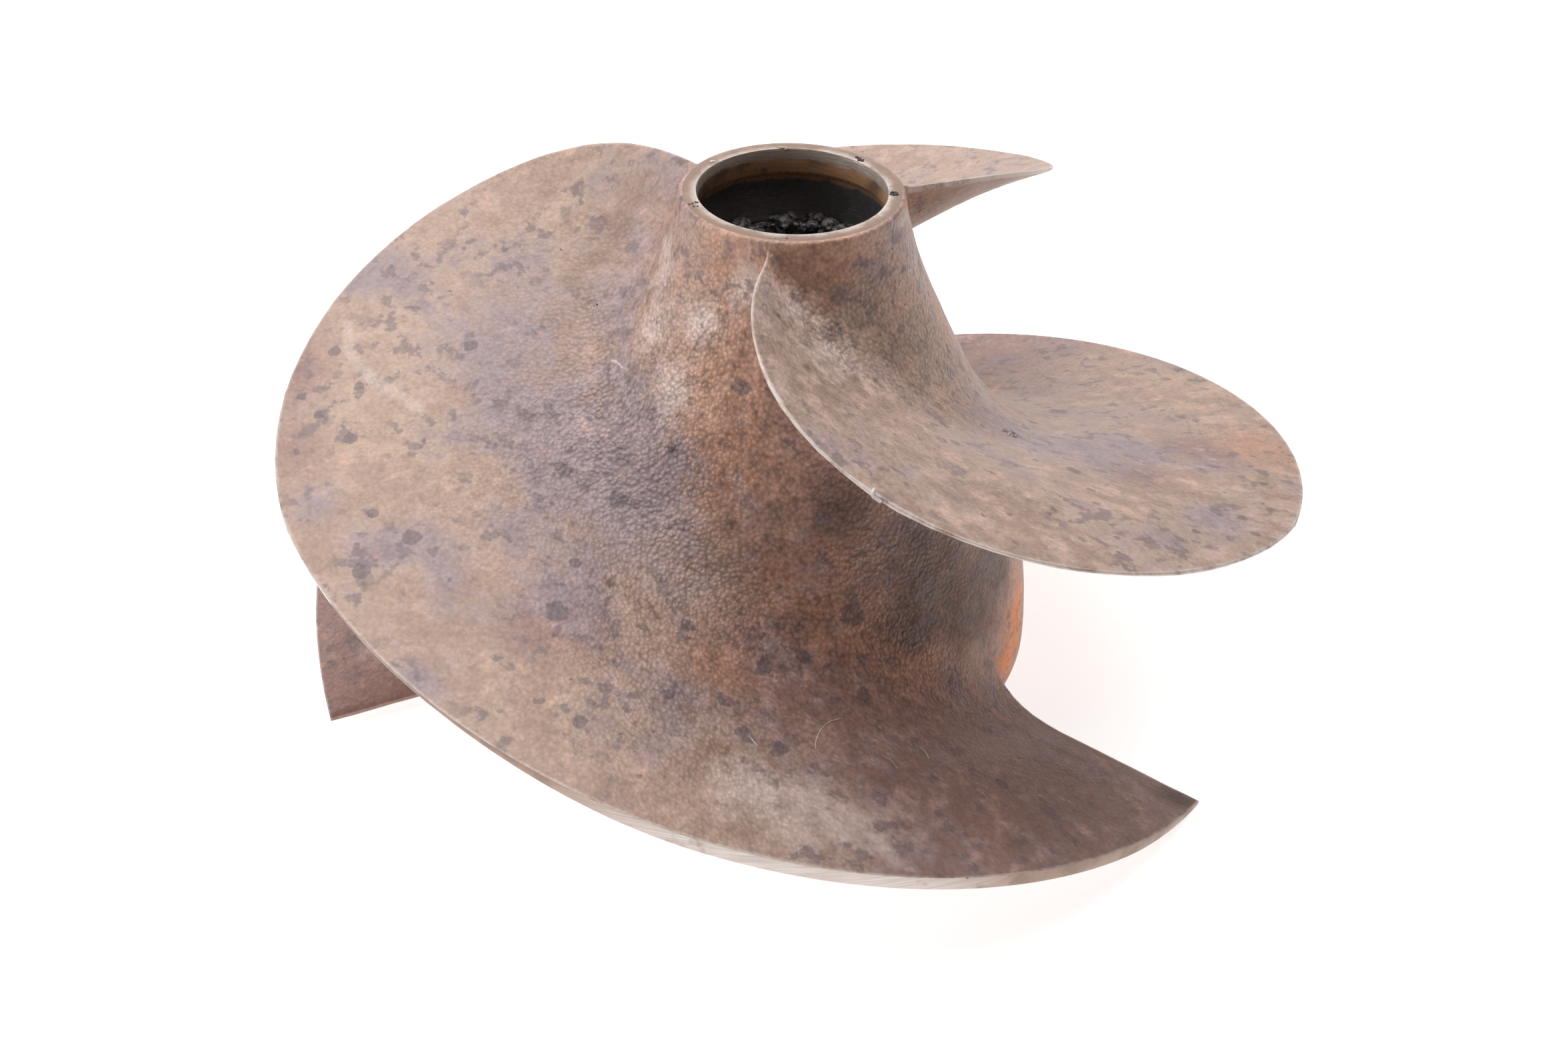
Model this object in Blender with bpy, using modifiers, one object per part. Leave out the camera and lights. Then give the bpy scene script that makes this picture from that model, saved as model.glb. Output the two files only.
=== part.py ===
"""Marine jet impeller: one casting with three helical blades, and the splined sleeve in its nose.

Metres, +Z up. The origin is on the axis, in the plane of the wide rear rim that it stands on.
"""

import math

import bmesh
import bpy
import numpy as np

MM = 0.001
TIP_R = 77.5 * MM
HEIGHT = 78.3 * MM

# Hub: the outer curve from the nose down to the rear rim, as four pull points in tip radii
HUB_CURVE = ((0.2061, 1.0103), (0.2664, 0.6828), (0.5171, 0.5264), (0.5390, 0.0))
HUB_TURNS = 60
HUB_POINTS = 13

# Nose rim and the bore under it
RIM_BORE_R = 13.5 * MM
RIM_FLAT_R = 15.0 * MM
RIM_EDGE_DROP = 0.15 * MM
REGISTER_DEPTH = 3.7 * MM
RELIEF_R = 14.6 * MM
RELIEF_SLOPE = 1.0 * MM
LEDGE_DEPTH = 11.4 * MM
SOCKET_BOTTOM = 38.0 * MM
SHAFT_R = 9.5 * MM

# Rear hollow with the boss in it
REAR_SEAT_R = 36.5 * MM
REAR_SEAT_DEPTH = 9.0 * MM
HUB_WALL = 5.5 * MM
HOLLOW_TOP = 45.0 * MM
HOLLOW_CORNER = 3.0 * MM
HOLLOW_SHARES = (0.0, 0.2, 0.4, 0.6, 0.8, 0.93)
BOSS_R = 18.0 * MM
BOSS_REAR = 6.0 * MM
EDGE = 0.5 * MM

# Splined sleeve
SLEEVE_GAP = 0.3 * MM
SPLINES = 22
SPLINE_ROOT_R = 11.9 * MM
SPLINE_TIP_R = 10.7 * MM
POINTS_PER_SPLINE = 4
SLEEVE_LAP = 1.0 * MM
CUTTER_LAP = 2.0 * MM

# Blades
BLADES = 3
FIRST_ROOT = math.radians(139.1)
WRAP = math.radians(185.6)
FALL = (1.00357, -0.44066, 0.21057, -0.09920, 0.02086, -0.00190)
ROOT_DROOP = 1.4 * MM
DROOP_ANGLE = 0.05
EDGE_CURVE = ((0.2330, 0.0005), (0.9678, -0.0420), (0.7813, 1.0683), (-0.0670, 1.0089))
ROOT_THICK = 5.0 * MM
TIP_THICK = 2.3 * MM
FRONT_THICK = 0.6 * MM
REAR_THICK = 1.1 * MM
FRONT_TAPER = 40.0 * MM
REAR_TAPER = 22.0 * MM
ROOT_FILLET = 12.0 * MM
UNDER_FILLET_SHARE = 0.55
LEAST_FILLET_SHARE = 0.25
NOSE_ROOM = 1.2
RIM_KEEP = 0.6 * MM
ROOT_SINK = 2.5 * MM
ROOT_CLEAR = 15.2 * MM
SKIN_SINK = 0.6 * MM
LOWEST_ROOT = 0.5 * MM
LOWEST_BLADE = 0.4 * MM
THIN_POWER = 0.8
FILLET_STEPS = (0.0, 0.35, 0.7)
SPANS = (0.0, 0.12, 0.28, 0.46, 0.64, 0.79, 0.89, 0.95, 0.98, 0.994, 1.0)
STEPS = 28
LAND_START = 0.9995
SAMPLES = np.linspace(0.0, 1.0, 400)


def bezier(points, t):
    """Points of a cubic curve given by four pull points."""
    t = np.atleast_1d(t)[:, None]
    k = 1.0 - t
    a, b, c, d = np.array(points, float)
    return k**3 * a + 3 * k * k * t * b + 3 * k * t * t * c + t**3 * d


HUB_LINE = bezier(HUB_CURVE, SAMPLES) * TIP_R
EDGE_LINE = bezier(EDGE_CURVE, SAMPLES) * TIP_R
EDGE_RADII = np.minimum(np.hypot(EDGE_LINE[:, 0], EDGE_LINE[:, 1]), TIP_R)
EDGE_ANGLES = np.arctan2(EDGE_LINE[:, 1], EDGE_LINE[:, 0])


def smooth(x):
    x = np.clip(x, 0.0, 1.0)
    return x * x * (3.0 - 2.0 * x)


def hub_radius(z):
    """Outer radius of the hub at this height."""
    return np.interp(z, HUB_LINE[::-1, 1], HUB_LINE[::-1, 0])


def hub_flare(z):
    """How much the hub widens for each metre downwards."""
    return (hub_radius(z - MM) - hub_radius(z + MM)) / (2 * MM)


def face_height(angle):
    """Height of a blade's upper face, which is level along every radius."""
    angle = np.maximum(0.0, angle)
    pitch = sum(term * angle**power for power, term in enumerate(FALL))
    return TIP_R * pitch - ROOT_DROOP * np.exp(-angle / DROOP_ANGLE)


def face_slope(angle):
    """Fall of the upper face per radian, apart from the droop of its edge."""
    angle = np.maximum(0.0, angle)
    return -TIP_R * sum(power * term * angle ** (power - 1) for power, term in enumerate(FALL) if power)


def fillet_reach(height):
    """Reach of the root fillet along the blade, less where the nose rim is near."""
    room = (HEIGHT - MM - height) / (NOSE_ROOM * ROOT_FILLET)
    return ROOT_FILLET * np.clip(room, LEAST_FILLET_SHARE, 1.0)


def root_corner(height, side):
    """Contact height on the hub, and the corner where hub and blade would meet without a fillet."""
    reach = fillet_reach(height)
    if side > 0:
        reach = np.minimum(reach, HEIGHT - RIM_KEEP - height)
    else:
        room = height - LOWEST_BLADE
        reach = np.minimum(UNDER_FILLET_SHARE * reach, np.maximum(LOWEST_ROOT - LOWEST_BLADE, room))
    contact = height + side * reach
    return contact, hub_radius(contact) + side * reach * hub_flare(contact)


def inner_radius(angle):
    """Radius at which the root fillet has run out on the upper face."""
    top = face_height(angle)
    return root_corner(top, 1)[1] + fillet_reach(top)


def edge_angle(span):
    """Angle at which the leading edge crosses this share of the way from the fillet to the tip."""
    inner = inner_radius(EDGE_ANGLES)
    spans = (EDGE_RADII - inner) / (TIP_R - inner)
    first = int(np.argmax(EDGE_RADII >= LAND_START * TIP_R)) + 1
    return np.interp(span, spans[:first], EDGE_ANGLES[:first])


def thickness(radius, angle):
    """Thickness of the blade along the axis, thin at both edges."""
    top = face_height(angle)
    hub = hub_radius(top)
    share = np.clip((radius - hub) / (TIP_R - hub), 0.0, 1.0)
    full = ROOT_THICK + (TIP_THICK - ROOT_THICK) * share**THIN_POWER
    here = np.array((radius * np.cos(angle), radius * np.sin(angle)))
    front = np.min(np.hypot(EDGE_LINE[:, 0] - here[0], EDGE_LINE[:, 1] - here[1]))
    normal = FRONT_THICK + (full - FRONT_THICK) * smooth(front / FRONT_TAPER)
    rear = smooth(radius * (WRAP - angle) / REAR_TAPER)
    normal = REAR_THICK + (normal - REAR_THICK) * rear
    return normal * np.hypot(1.0, face_slope(angle) / radius)


def fillet_points(height, outer, side):
    """Points of one root fillet from inside the hub to the blade's face at the radius outer."""
    contact, corner = root_corner(height, side)
    start = np.array((hub_radius(contact) - SKIN_SINK, contact))
    bend, end = np.array((corner, height)), np.array((outer, height))
    sunk = (max(start[0] - ROOT_SINK, ROOT_CLEAR), contact)
    line = [(1 - t) ** 2 * start + 2 * t * (1 - t) * bend + t * t * end for t in FILLET_STEPS]
    return [sunk] + [tuple(p) for p in line]


def blade_section(share):
    """Upper and lower row of points from hub to tip at one share of the blade's length."""
    upper, lower = [], []
    start = edge_angle(0.0)
    angle = start + share * (WRAP - start)
    outer = inner_radius(angle)
    low = face_height(angle) - thickness(outer, angle)
    for r, z in fillet_points(face_height(angle), outer, 1):
        upper.append((r, angle, z))
    for r, z in fillet_points(max(low, LOWEST_ROOT), outer, -1):
        lower.append((r, angle, z))
    for span in SPANS:
        start = edge_angle(span)
        angle = start + share * (WRAP - start)
        inner = inner_radius(angle)
        r = inner + span * (TIP_R - inner)
        high = face_height(angle)
        upper.append((r, angle, high))
        lower.append((r, angle, max(LOWEST_BLADE, high - thickness(r, angle))))
    return upper, lower


def blade_columns(turn):
    """Upper and lower grid of points, each a row of stations from hub to tip."""
    rows = [blade_section(step / STEPS) for step in range(STEPS + 1)]
    turned = [[[(r, a + turn, z) for r, a, z in side] for side in row] for row in rows]
    return [row[0] for row in turned], [row[1] for row in turned]


def round_to_flat(point):
    r, angle, z = point
    return (r * math.cos(angle), r * math.sin(angle), z)


def loft_blade(name, turn):
    """One blade as a closed skin between its upper and lower grids."""
    upper, lower = blade_columns(turn)
    shape = bmesh.new()
    top = [[shape.verts.new(round_to_flat(p)) for p in row] for row in upper]
    low = [[shape.verts.new(round_to_flat(p)) for p in row] for row in lower]
    last = len(top[0]) - 1
    for i in range(STEPS):
        for j in range(last):
            shape.faces.new((top[i][j], top[i][j + 1], top[i + 1][j + 1], top[i + 1][j]))
            shape.faces.new((low[i][j], low[i + 1][j], low[i + 1][j + 1], low[i][j + 1]))
        for j, flip in ((0, False), (last, True)):
            ring = (top[i][j], top[i + 1][j], low[i + 1][j], low[i][j])
            shape.faces.new(ring[::-1] if flip else ring)
    for j in range(last):
        shape.faces.new((top[0][j], low[0][j], low[0][j + 1], top[0][j + 1]))
        shape.faces.new((top[-1][j], top[-1][j + 1], low[-1][j + 1], low[-1][j]))
    bmesh.ops.recalc_face_normals(shape, faces=shape.faces)
    return to_object(name, shape)


def to_object(name, shape):
    mesh = bpy.data.meshes.new(name)
    shape.to_mesh(mesh)
    shape.free()
    return bpy.data.objects.new(name, mesh)


def hub_profile():
    """Closed section of the hub at +X: outer curve downwards, then the hollow, boss and bore."""
    top = HEIGHT
    line = [(RIM_BORE_R, top), (RIM_FLAT_R, top)]
    for k in range(HUB_POINTS):
        r, z = bezier(HUB_CURVE, k / (HUB_POINTS - 1))[0] * TIP_R
        line.append((r, min(z, top - RIM_EDGE_DROP)))
    line[-1] = (line[-1][0], EDGE)
    line += [(line[-1][0] - EDGE, 0.0), (REAR_SEAT_R, 0.0), (REAR_SEAT_R, REAR_SEAT_DEPTH)]
    for share in HOLLOW_SHARES:
        z = REAR_SEAT_DEPTH + share * (HOLLOW_TOP - REAR_SEAT_DEPTH)
        line.append((hub_radius(z) - HUB_WALL, z))
    wall = hub_radius(HOLLOW_TOP) - HUB_WALL
    line += [(wall - HOLLOW_CORNER, HOLLOW_TOP), (BOSS_R + HOLLOW_CORNER, HOLLOW_TOP)]
    line += [(BOSS_R, HOLLOW_TOP - HOLLOW_CORNER), (BOSS_R, BOSS_REAR + EDGE)]
    line += [(BOSS_R - EDGE, BOSS_REAR), (SHAFT_R, BOSS_REAR), (SHAFT_R, SOCKET_BOTTOM)]
    socket = SOCKET_BOTTOM, top - LEDGE_DEPTH
    line += [(RIM_BORE_R, socket[0]), (RIM_BORE_R, socket[1]), (RELIEF_R, socket[1])]
    line += [(RELIEF_R, top - REGISTER_DEPTH - RELIEF_SLOPE), (RIM_BORE_R, top - REGISTER_DEPTH)]
    return line


def revolve(name, line, turns):
    """Turns a closed section once about Z."""
    shape = bmesh.new()
    verts = [shape.verts.new((r, 0.0, z)) for r, z in line]
    for a, b in zip(verts, verts[1:] + verts[:1]):
        shape.edges.new((a, b))
    obj = to_object(name, shape)
    screw = obj.modifiers.new("turn", "SCREW")
    screw.steps = screw.render_steps = turns
    screw.use_merge_vertices = True
    screw.merge_threshold = 1e-6
    screw.use_smooth_shade = True
    return obj


def join(obj, other, operation):
    change = obj.modifiers.new(f"{operation.lower()}_{other.name}", "BOOLEAN")
    change.operation = operation
    change.solver = "EXACT"
    change.object = other


def spline_cutter(name, low, high):
    """Prism with grooves round it, longer than the sleeve."""
    shape = bmesh.new()
    bmesh.ops.create_circle(shape, cap_ends=True, segments=SPLINES * POINTS_PER_SPLINE, radius=1.0)
    shape.verts.ensure_lookup_table()
    for k, vert in enumerate(shape.verts):
        radius = SPLINE_ROOT_R if k % POINTS_PER_SPLINE < 2 else SPLINE_TIP_R
        vert.co = vert.co.normalized() * radius
        vert.co.z = low
    made = bmesh.ops.extrude_face_region(shape, geom=shape.faces[:])
    for item in made["geom"]:
        if isinstance(item, bmesh.types.BMVert):
            item.co.z = high
    bmesh.ops.recalc_face_normals(shape, faces=shape.faces)
    return to_object(name, shape)


def material(name, colour, metallic, roughness):
    made = bpy.data.materials.new(name)
    made.use_nodes = True
    shader = made.node_tree.nodes["Principled BSDF"]
    shader.inputs["Base Color"].default_value = (*colour, 1.0)
    shader.inputs["Metallic"].default_value = metallic
    shader.inputs["Roughness"].default_value = roughness
    return made


def collections():
    scene = bpy.context.scene.collection
    parts = bpy.data.collections.new("jet_impeller")
    helpers = bpy.data.collections.new("cutters")
    scene.children.link(parts)
    scene.children.link(helpers)
    return parts, helpers


def add_helper(obj, helpers):
    helpers.objects.link(obj)
    obj.hide_render = True
    obj.display_type = "WIRE"
    return obj


def build_casting(parts, helpers):
    casting = revolve("impeller_casting", hub_profile(), HUB_TURNS)
    parts.objects.link(casting)
    for k in range(BLADES):
        turn = FIRST_ROOT + k * 2 * math.pi / BLADES
        join(casting, add_helper(loft_blade(f"blade_{k + 1}", turn), helpers), "UNION")
    casting.data.materials.append(material("bronze", (0.42, 0.32, 0.27), 0.6, 0.55))


def build_sleeve(parts, helpers):
    low, high = SOCKET_BOTTOM + SLEEVE_GAP, HEIGHT - LEDGE_DEPTH
    outer = RIM_BORE_R - SLEEVE_GAP
    inner = SPLINE_TIP_R - SLEEVE_LAP
    line = [(inner, high), (outer, high), (outer, low), (inner, low)]
    sleeve = revolve("spline_sleeve", line, SPLINES * 2)
    parts.objects.link(sleeve)
    cutter = spline_cutter("spline_cut", low - CUTTER_LAP, high + CUTTER_LAP)
    join(sleeve, add_helper(cutter, helpers), "DIFFERENCE")
    sleeve.data.materials.append(material("steel", (0.10, 0.09, 0.09), 0.7, 0.5))


def main():
    for obj in list(bpy.data.objects):
        bpy.data.objects.remove(obj, do_unlink=True)
    parts, helpers = collections()
    build_casting(parts, helpers)
    build_sleeve(parts, helpers)


if __name__ == "__main__":
    main()
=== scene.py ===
"""Looks of a cast marine jet impeller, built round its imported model.

Lengths are metres in the row's frame: +Z up the shaft axis to the nose, the origin in the plane of
the wide rear rim. Angles are radians, counter-clockwise from +X seen from above.
"""

import logging  # noqa: E402
import math  # noqa: E402
from dataclasses import dataclass  # noqa: E402
from enum import Enum  # noqa: E402
from typing import Any  # noqa: E402

import bmesh  # noqa: E402
import bpy  # noqa: E402
import numpy as np  # noqa: E402
from mathutils import Matrix, Vector, noise  # noqa: E402
from mathutils.bvhtree import BVHTree  # noqa: E402


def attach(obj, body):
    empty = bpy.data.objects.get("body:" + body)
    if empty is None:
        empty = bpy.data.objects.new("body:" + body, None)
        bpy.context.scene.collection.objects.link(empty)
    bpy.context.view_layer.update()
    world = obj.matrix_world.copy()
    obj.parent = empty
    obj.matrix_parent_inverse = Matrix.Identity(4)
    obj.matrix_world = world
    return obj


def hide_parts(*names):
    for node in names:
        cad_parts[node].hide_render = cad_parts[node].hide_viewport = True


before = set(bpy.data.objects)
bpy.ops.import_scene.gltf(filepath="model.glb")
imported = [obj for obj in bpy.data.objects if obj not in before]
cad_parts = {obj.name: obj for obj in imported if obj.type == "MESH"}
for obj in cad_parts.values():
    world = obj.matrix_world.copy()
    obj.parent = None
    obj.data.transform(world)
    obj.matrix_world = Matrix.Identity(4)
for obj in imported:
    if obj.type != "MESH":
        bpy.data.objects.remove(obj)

logging.basicConfig(level=logging.INFO, format="%(message)s")
log = logging.getLogger("jet_impeller")

MM = 0.001
BODY = "root"
Colour = tuple[float, float, float]
FULL_TURN = 2 * math.pi
FLOAT, VECTOR, WHOLE = "NodeSocketFloat", "NodeSocketVector", "NodeSocketInt"
GEOMETRY, MATERIAL = "NodeSocketGeometry", "NodeSocketMaterial"
# points that a fitted curve is cut into
CURVE_STEPS = 800
# a shorter edge counts as none
NO_LENGTH = 1e-7


class Slot(Enum):
    """Material slots of the record."""

    BRONZE = "bronze"
    STEEL = "steel"


def cubic(points: Any, t: np.ndarray) -> np.ndarray:
    """Points of a cubic curve.

    Args:
        points: Four pull points, each (x, y).
        t: Shares of the way along.

    Returns:
        One row (x, y) for each share.
    """
    t = np.atleast_1d(t)[:, None]
    k = 1.0 - t
    a, b, c, d = np.array(points, float)
    return k**3 * a + 3 * k * k * t * b + 3 * k * t * t * c + t**3 * d


def ease(x: Any) -> Any:
    """Smooth step from 0 to 1 as x goes from 0 to 1."""
    x = np.clip(x, 0.0, 1.0)
    return x * x * (3.0 - 2.0 * x)


class Graph:
    """Adds nodes to a tree and wires them."""

    def __init__(self, tree: Any) -> None:
        """Takes the tree to work on."""
        self.tree = tree

    def plug(self, socket: Any, value: Any) -> None:
        """Links a socket or node to a socket, or sets its value."""
        if isinstance(value, bpy.types.Node):
            value = next(s for s in value.outputs if s.enabled)
        if isinstance(value, bpy.types.NodeSocket):
            self.tree.links.new(value, socket)
        else:
            socket.default_value = value

    def add(self, kind: str, inputs: dict | None = None, **settings: Any) -> Any:
        """Adds a node.

        Args:
            kind: The node's type name.
            inputs: Values or links for its inputs, by name or number.
            settings: The node's own settings.

        Returns:
            The new node.
        """
        node = self.tree.nodes.new(kind)
        for name, value in settings.items():
            setattr(node, name, value)
        for key, value in (inputs or {}).items():
            self.plug(node.inputs[key], value)
        return node

    def math(self, operation: str, *values: Any, clamp: bool = False) -> Any:
        """Output of a Math node on the given values."""
        node = self.add("ShaderNodeMath", dict(enumerate(values)), operation=operation)
        node.use_clamp = clamp
        return node.outputs[0]

    def plus(self, a: Any, b: Any) -> Any:
        """Sum of two values."""
        return self.math("ADD", a, b)

    def minus(self, a: Any, b: Any) -> Any:
        """First value less the second."""
        return self.math("SUBTRACT", a, b)

    def times(self, a: Any, b: Any, clamp: bool = False) -> Any:
        """Product of two values, kept from 0 to 1 where clamp is set."""
        return self.math("MULTIPLY", a, b, clamp=clamp)

    def over(self, a: Any, b: Any, clamp: bool = False) -> Any:
        """First value divided by the second, kept from 0 to 1 where clamp is set."""
        return self.math("DIVIDE", a, b, clamp=clamp)

    def times_plus(self, a: Any, b: Any, c: Any) -> Any:
        """Product of the first two values, plus the third."""
        return self.math("MULTIPLY_ADD", a, b, c)

    def vector(self, operation: str, *values: Any) -> Any:
        """Output of a Vector Math node on the given values."""
        node = self.add("ShaderNodeVectorMath", dict(enumerate(values)), operation=operation)
        name = "Value" if operation in ("LENGTH", "DISTANCE", "DOT_PRODUCT") else "Vector"
        return node.outputs[name]

    def scaled(self, vector: Any, factor: Any) -> Any:
        """A vector times a number."""
        return self.add("ShaderNodeVectorMath", {0: vector, "Scale": factor}, operation="SCALE").outputs[0]

    def remap(self, value: Any, low: float, high: float, out: tuple = (0.0, 1.0)) -> Any:
        """Smoothly remaps value from low..high to the out range."""
        inputs = {"Value": value, "From Min": low, "From Max": high}
        inputs |= {"To Min": out[0], "To Max": out[1]}
        node = self.add("ShaderNodeMapRange", inputs, interpolation_type="SMOOTHSTEP")
        return node.outputs[0]

    def blend(self, share: Any, a: Any, b: Any, mode: str = "MIX") -> Any:
        """Colour a with colour b laid over it by share."""
        node = self.add("ShaderNodeMix", data_type="RGBA", blend_type=mode)
        for key, value in ((0, share), (6, a), (7, b)):
            self.plug(node.inputs[key], rgba(value) if isinstance(value, tuple) else value)
        return node.outputs[2]


def rgba(colour: Colour) -> tuple[float, float, float, float]:
    """Colour with full alpha."""
    return (*colour[:3], 1.0)


def new_group(name: str, kind: str, takes: dict, gives: dict) -> tuple[Any, Any, Any]:
    """Makes a node group.

    Args:
        name: Name of the group.
        kind: "ShaderNodeTree" or "GeometryNodeTree".
        takes: Input names to (socket type, default or None).
        gives: Output names to socket type.

    Returns:
        The graph, the group's input node and its output node.
    """
    tree = bpy.data.node_groups.new(name, kind)
    for label, (socket, default) in takes.items():
        made = tree.interface.new_socket(label, in_out="INPUT", socket_type=socket)
        if default is not None:
            made.default_value = default
    for label, socket in gives.items():
        tree.interface.new_socket(label, in_out="OUTPUT", socket_type=socket)
    graph = Graph(tree)
    return graph, graph.add("NodeGroupInput"), graph.add("NodeGroupOutput")


def close_tree(g: Graph, start: Any, end: Any, shape: Any) -> Any:
    """Ends a Geometry Nodes tree with Realize Instances and Set Material.

    Args:
        g: The tree's graph.
        start: Its input node.
        end: Its output node.
        shape: The geometry to give out.

    Returns:
        The finished tree.
    """
    real = g.add("GeometryNodeRealizeInstances", {"Geometry": shape})
    inputs = {"Geometry": real, "Material": start.outputs["Material"]}
    g.plug(end.inputs["Geometry"], g.add("GeometryNodeSetMaterial", inputs))
    return g.tree


def apply_tree(obj: Any, tree: Any, values: dict) -> Any:
    """Runs a Geometry Nodes tree on an object and keeps the plain mesh that it makes.

    Args:
        obj: Object whose mesh the tree starts from.
        tree: The node group.
        values: Input names to values.

    Returns:
        The same object with its new mesh and no modifier.
    """
    change = obj.modifiers.new(tree.name, "NODES")
    change.node_group = tree
    for item in tree.interface.items_tree:
        if item.in_out == "INPUT" and item.name in values:
            change[item.identifier] = values[item.name]
    return bake_modifiers(obj)


def bake_modifiers(obj: Any) -> Any:
    """Turns an object's evaluated mesh into its own and drops its modifiers."""
    bpy.context.view_layer.update()
    graph = bpy.context.evaluated_depsgraph_get()
    mesh = bpy.data.meshes.new_from_object(obj.evaluated_get(graph))
    mesh.name = obj.name
    obj.modifiers.clear()
    obj.data = mesh
    return obj


def add_object(name: str, mesh: Any) -> Any:
    """Links a new object for a mesh."""
    obj = bpy.data.objects.new(name, mesh)
    bpy.context.scene.collection.objects.link(obj)
    return obj


def grid_mesh(name: str, points: np.ndarray, faces: np.ndarray) -> Any:
    """Mesh from an array of points and one of quads."""
    mesh = bpy.data.meshes.new(name)
    mesh.from_pydata(points.tolist(), [], faces.tolist())
    mesh.update()
    return mesh


def turned_mesh(name: str, line: np.ndarray, turns: int) -> Any:
    """Closed skin that a closed line makes when it is turned about the Z axis.

    Args:
        name: Name of the mesh.
        line: Points (radius, height).
        turns: Steps round the axis.

    Returns:
        The mesh, in quads.
    """
    turn = np.arange(turns) * FULL_TURN / turns
    r, z = line[:, 0][:, None], line[:, 1][:, None]
    points = np.stack([r * np.cos(turn), r * np.sin(turn), z + 0 * turn], -1)
    index = np.arange(len(line) * turns).reshape(len(line), turns)
    along, aside = np.roll(index, -1, 0), np.roll(index, -1, 1)
    faces = np.stack([index, along, np.roll(along, -1, 1), aside], -1).reshape(-1, 4)
    return grid_mesh(name, points.reshape(-1, 3), faces)


def points_of(mesh: Any) -> np.ndarray:
    """The mesh's points, one row each."""
    flat = np.empty(len(mesh.vertices) * 3)
    mesh.vertices.foreach_get("co", flat)
    return flat.reshape(-1, 3)


def write_points(mesh: Any, name: str, values: np.ndarray) -> None:
    """Stores one number for each point of the mesh."""
    data = mesh.attributes.new(name, "FLOAT", "POINT").data
    data.foreach_set("value", values.astype(np.float32))


# Forms


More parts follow.
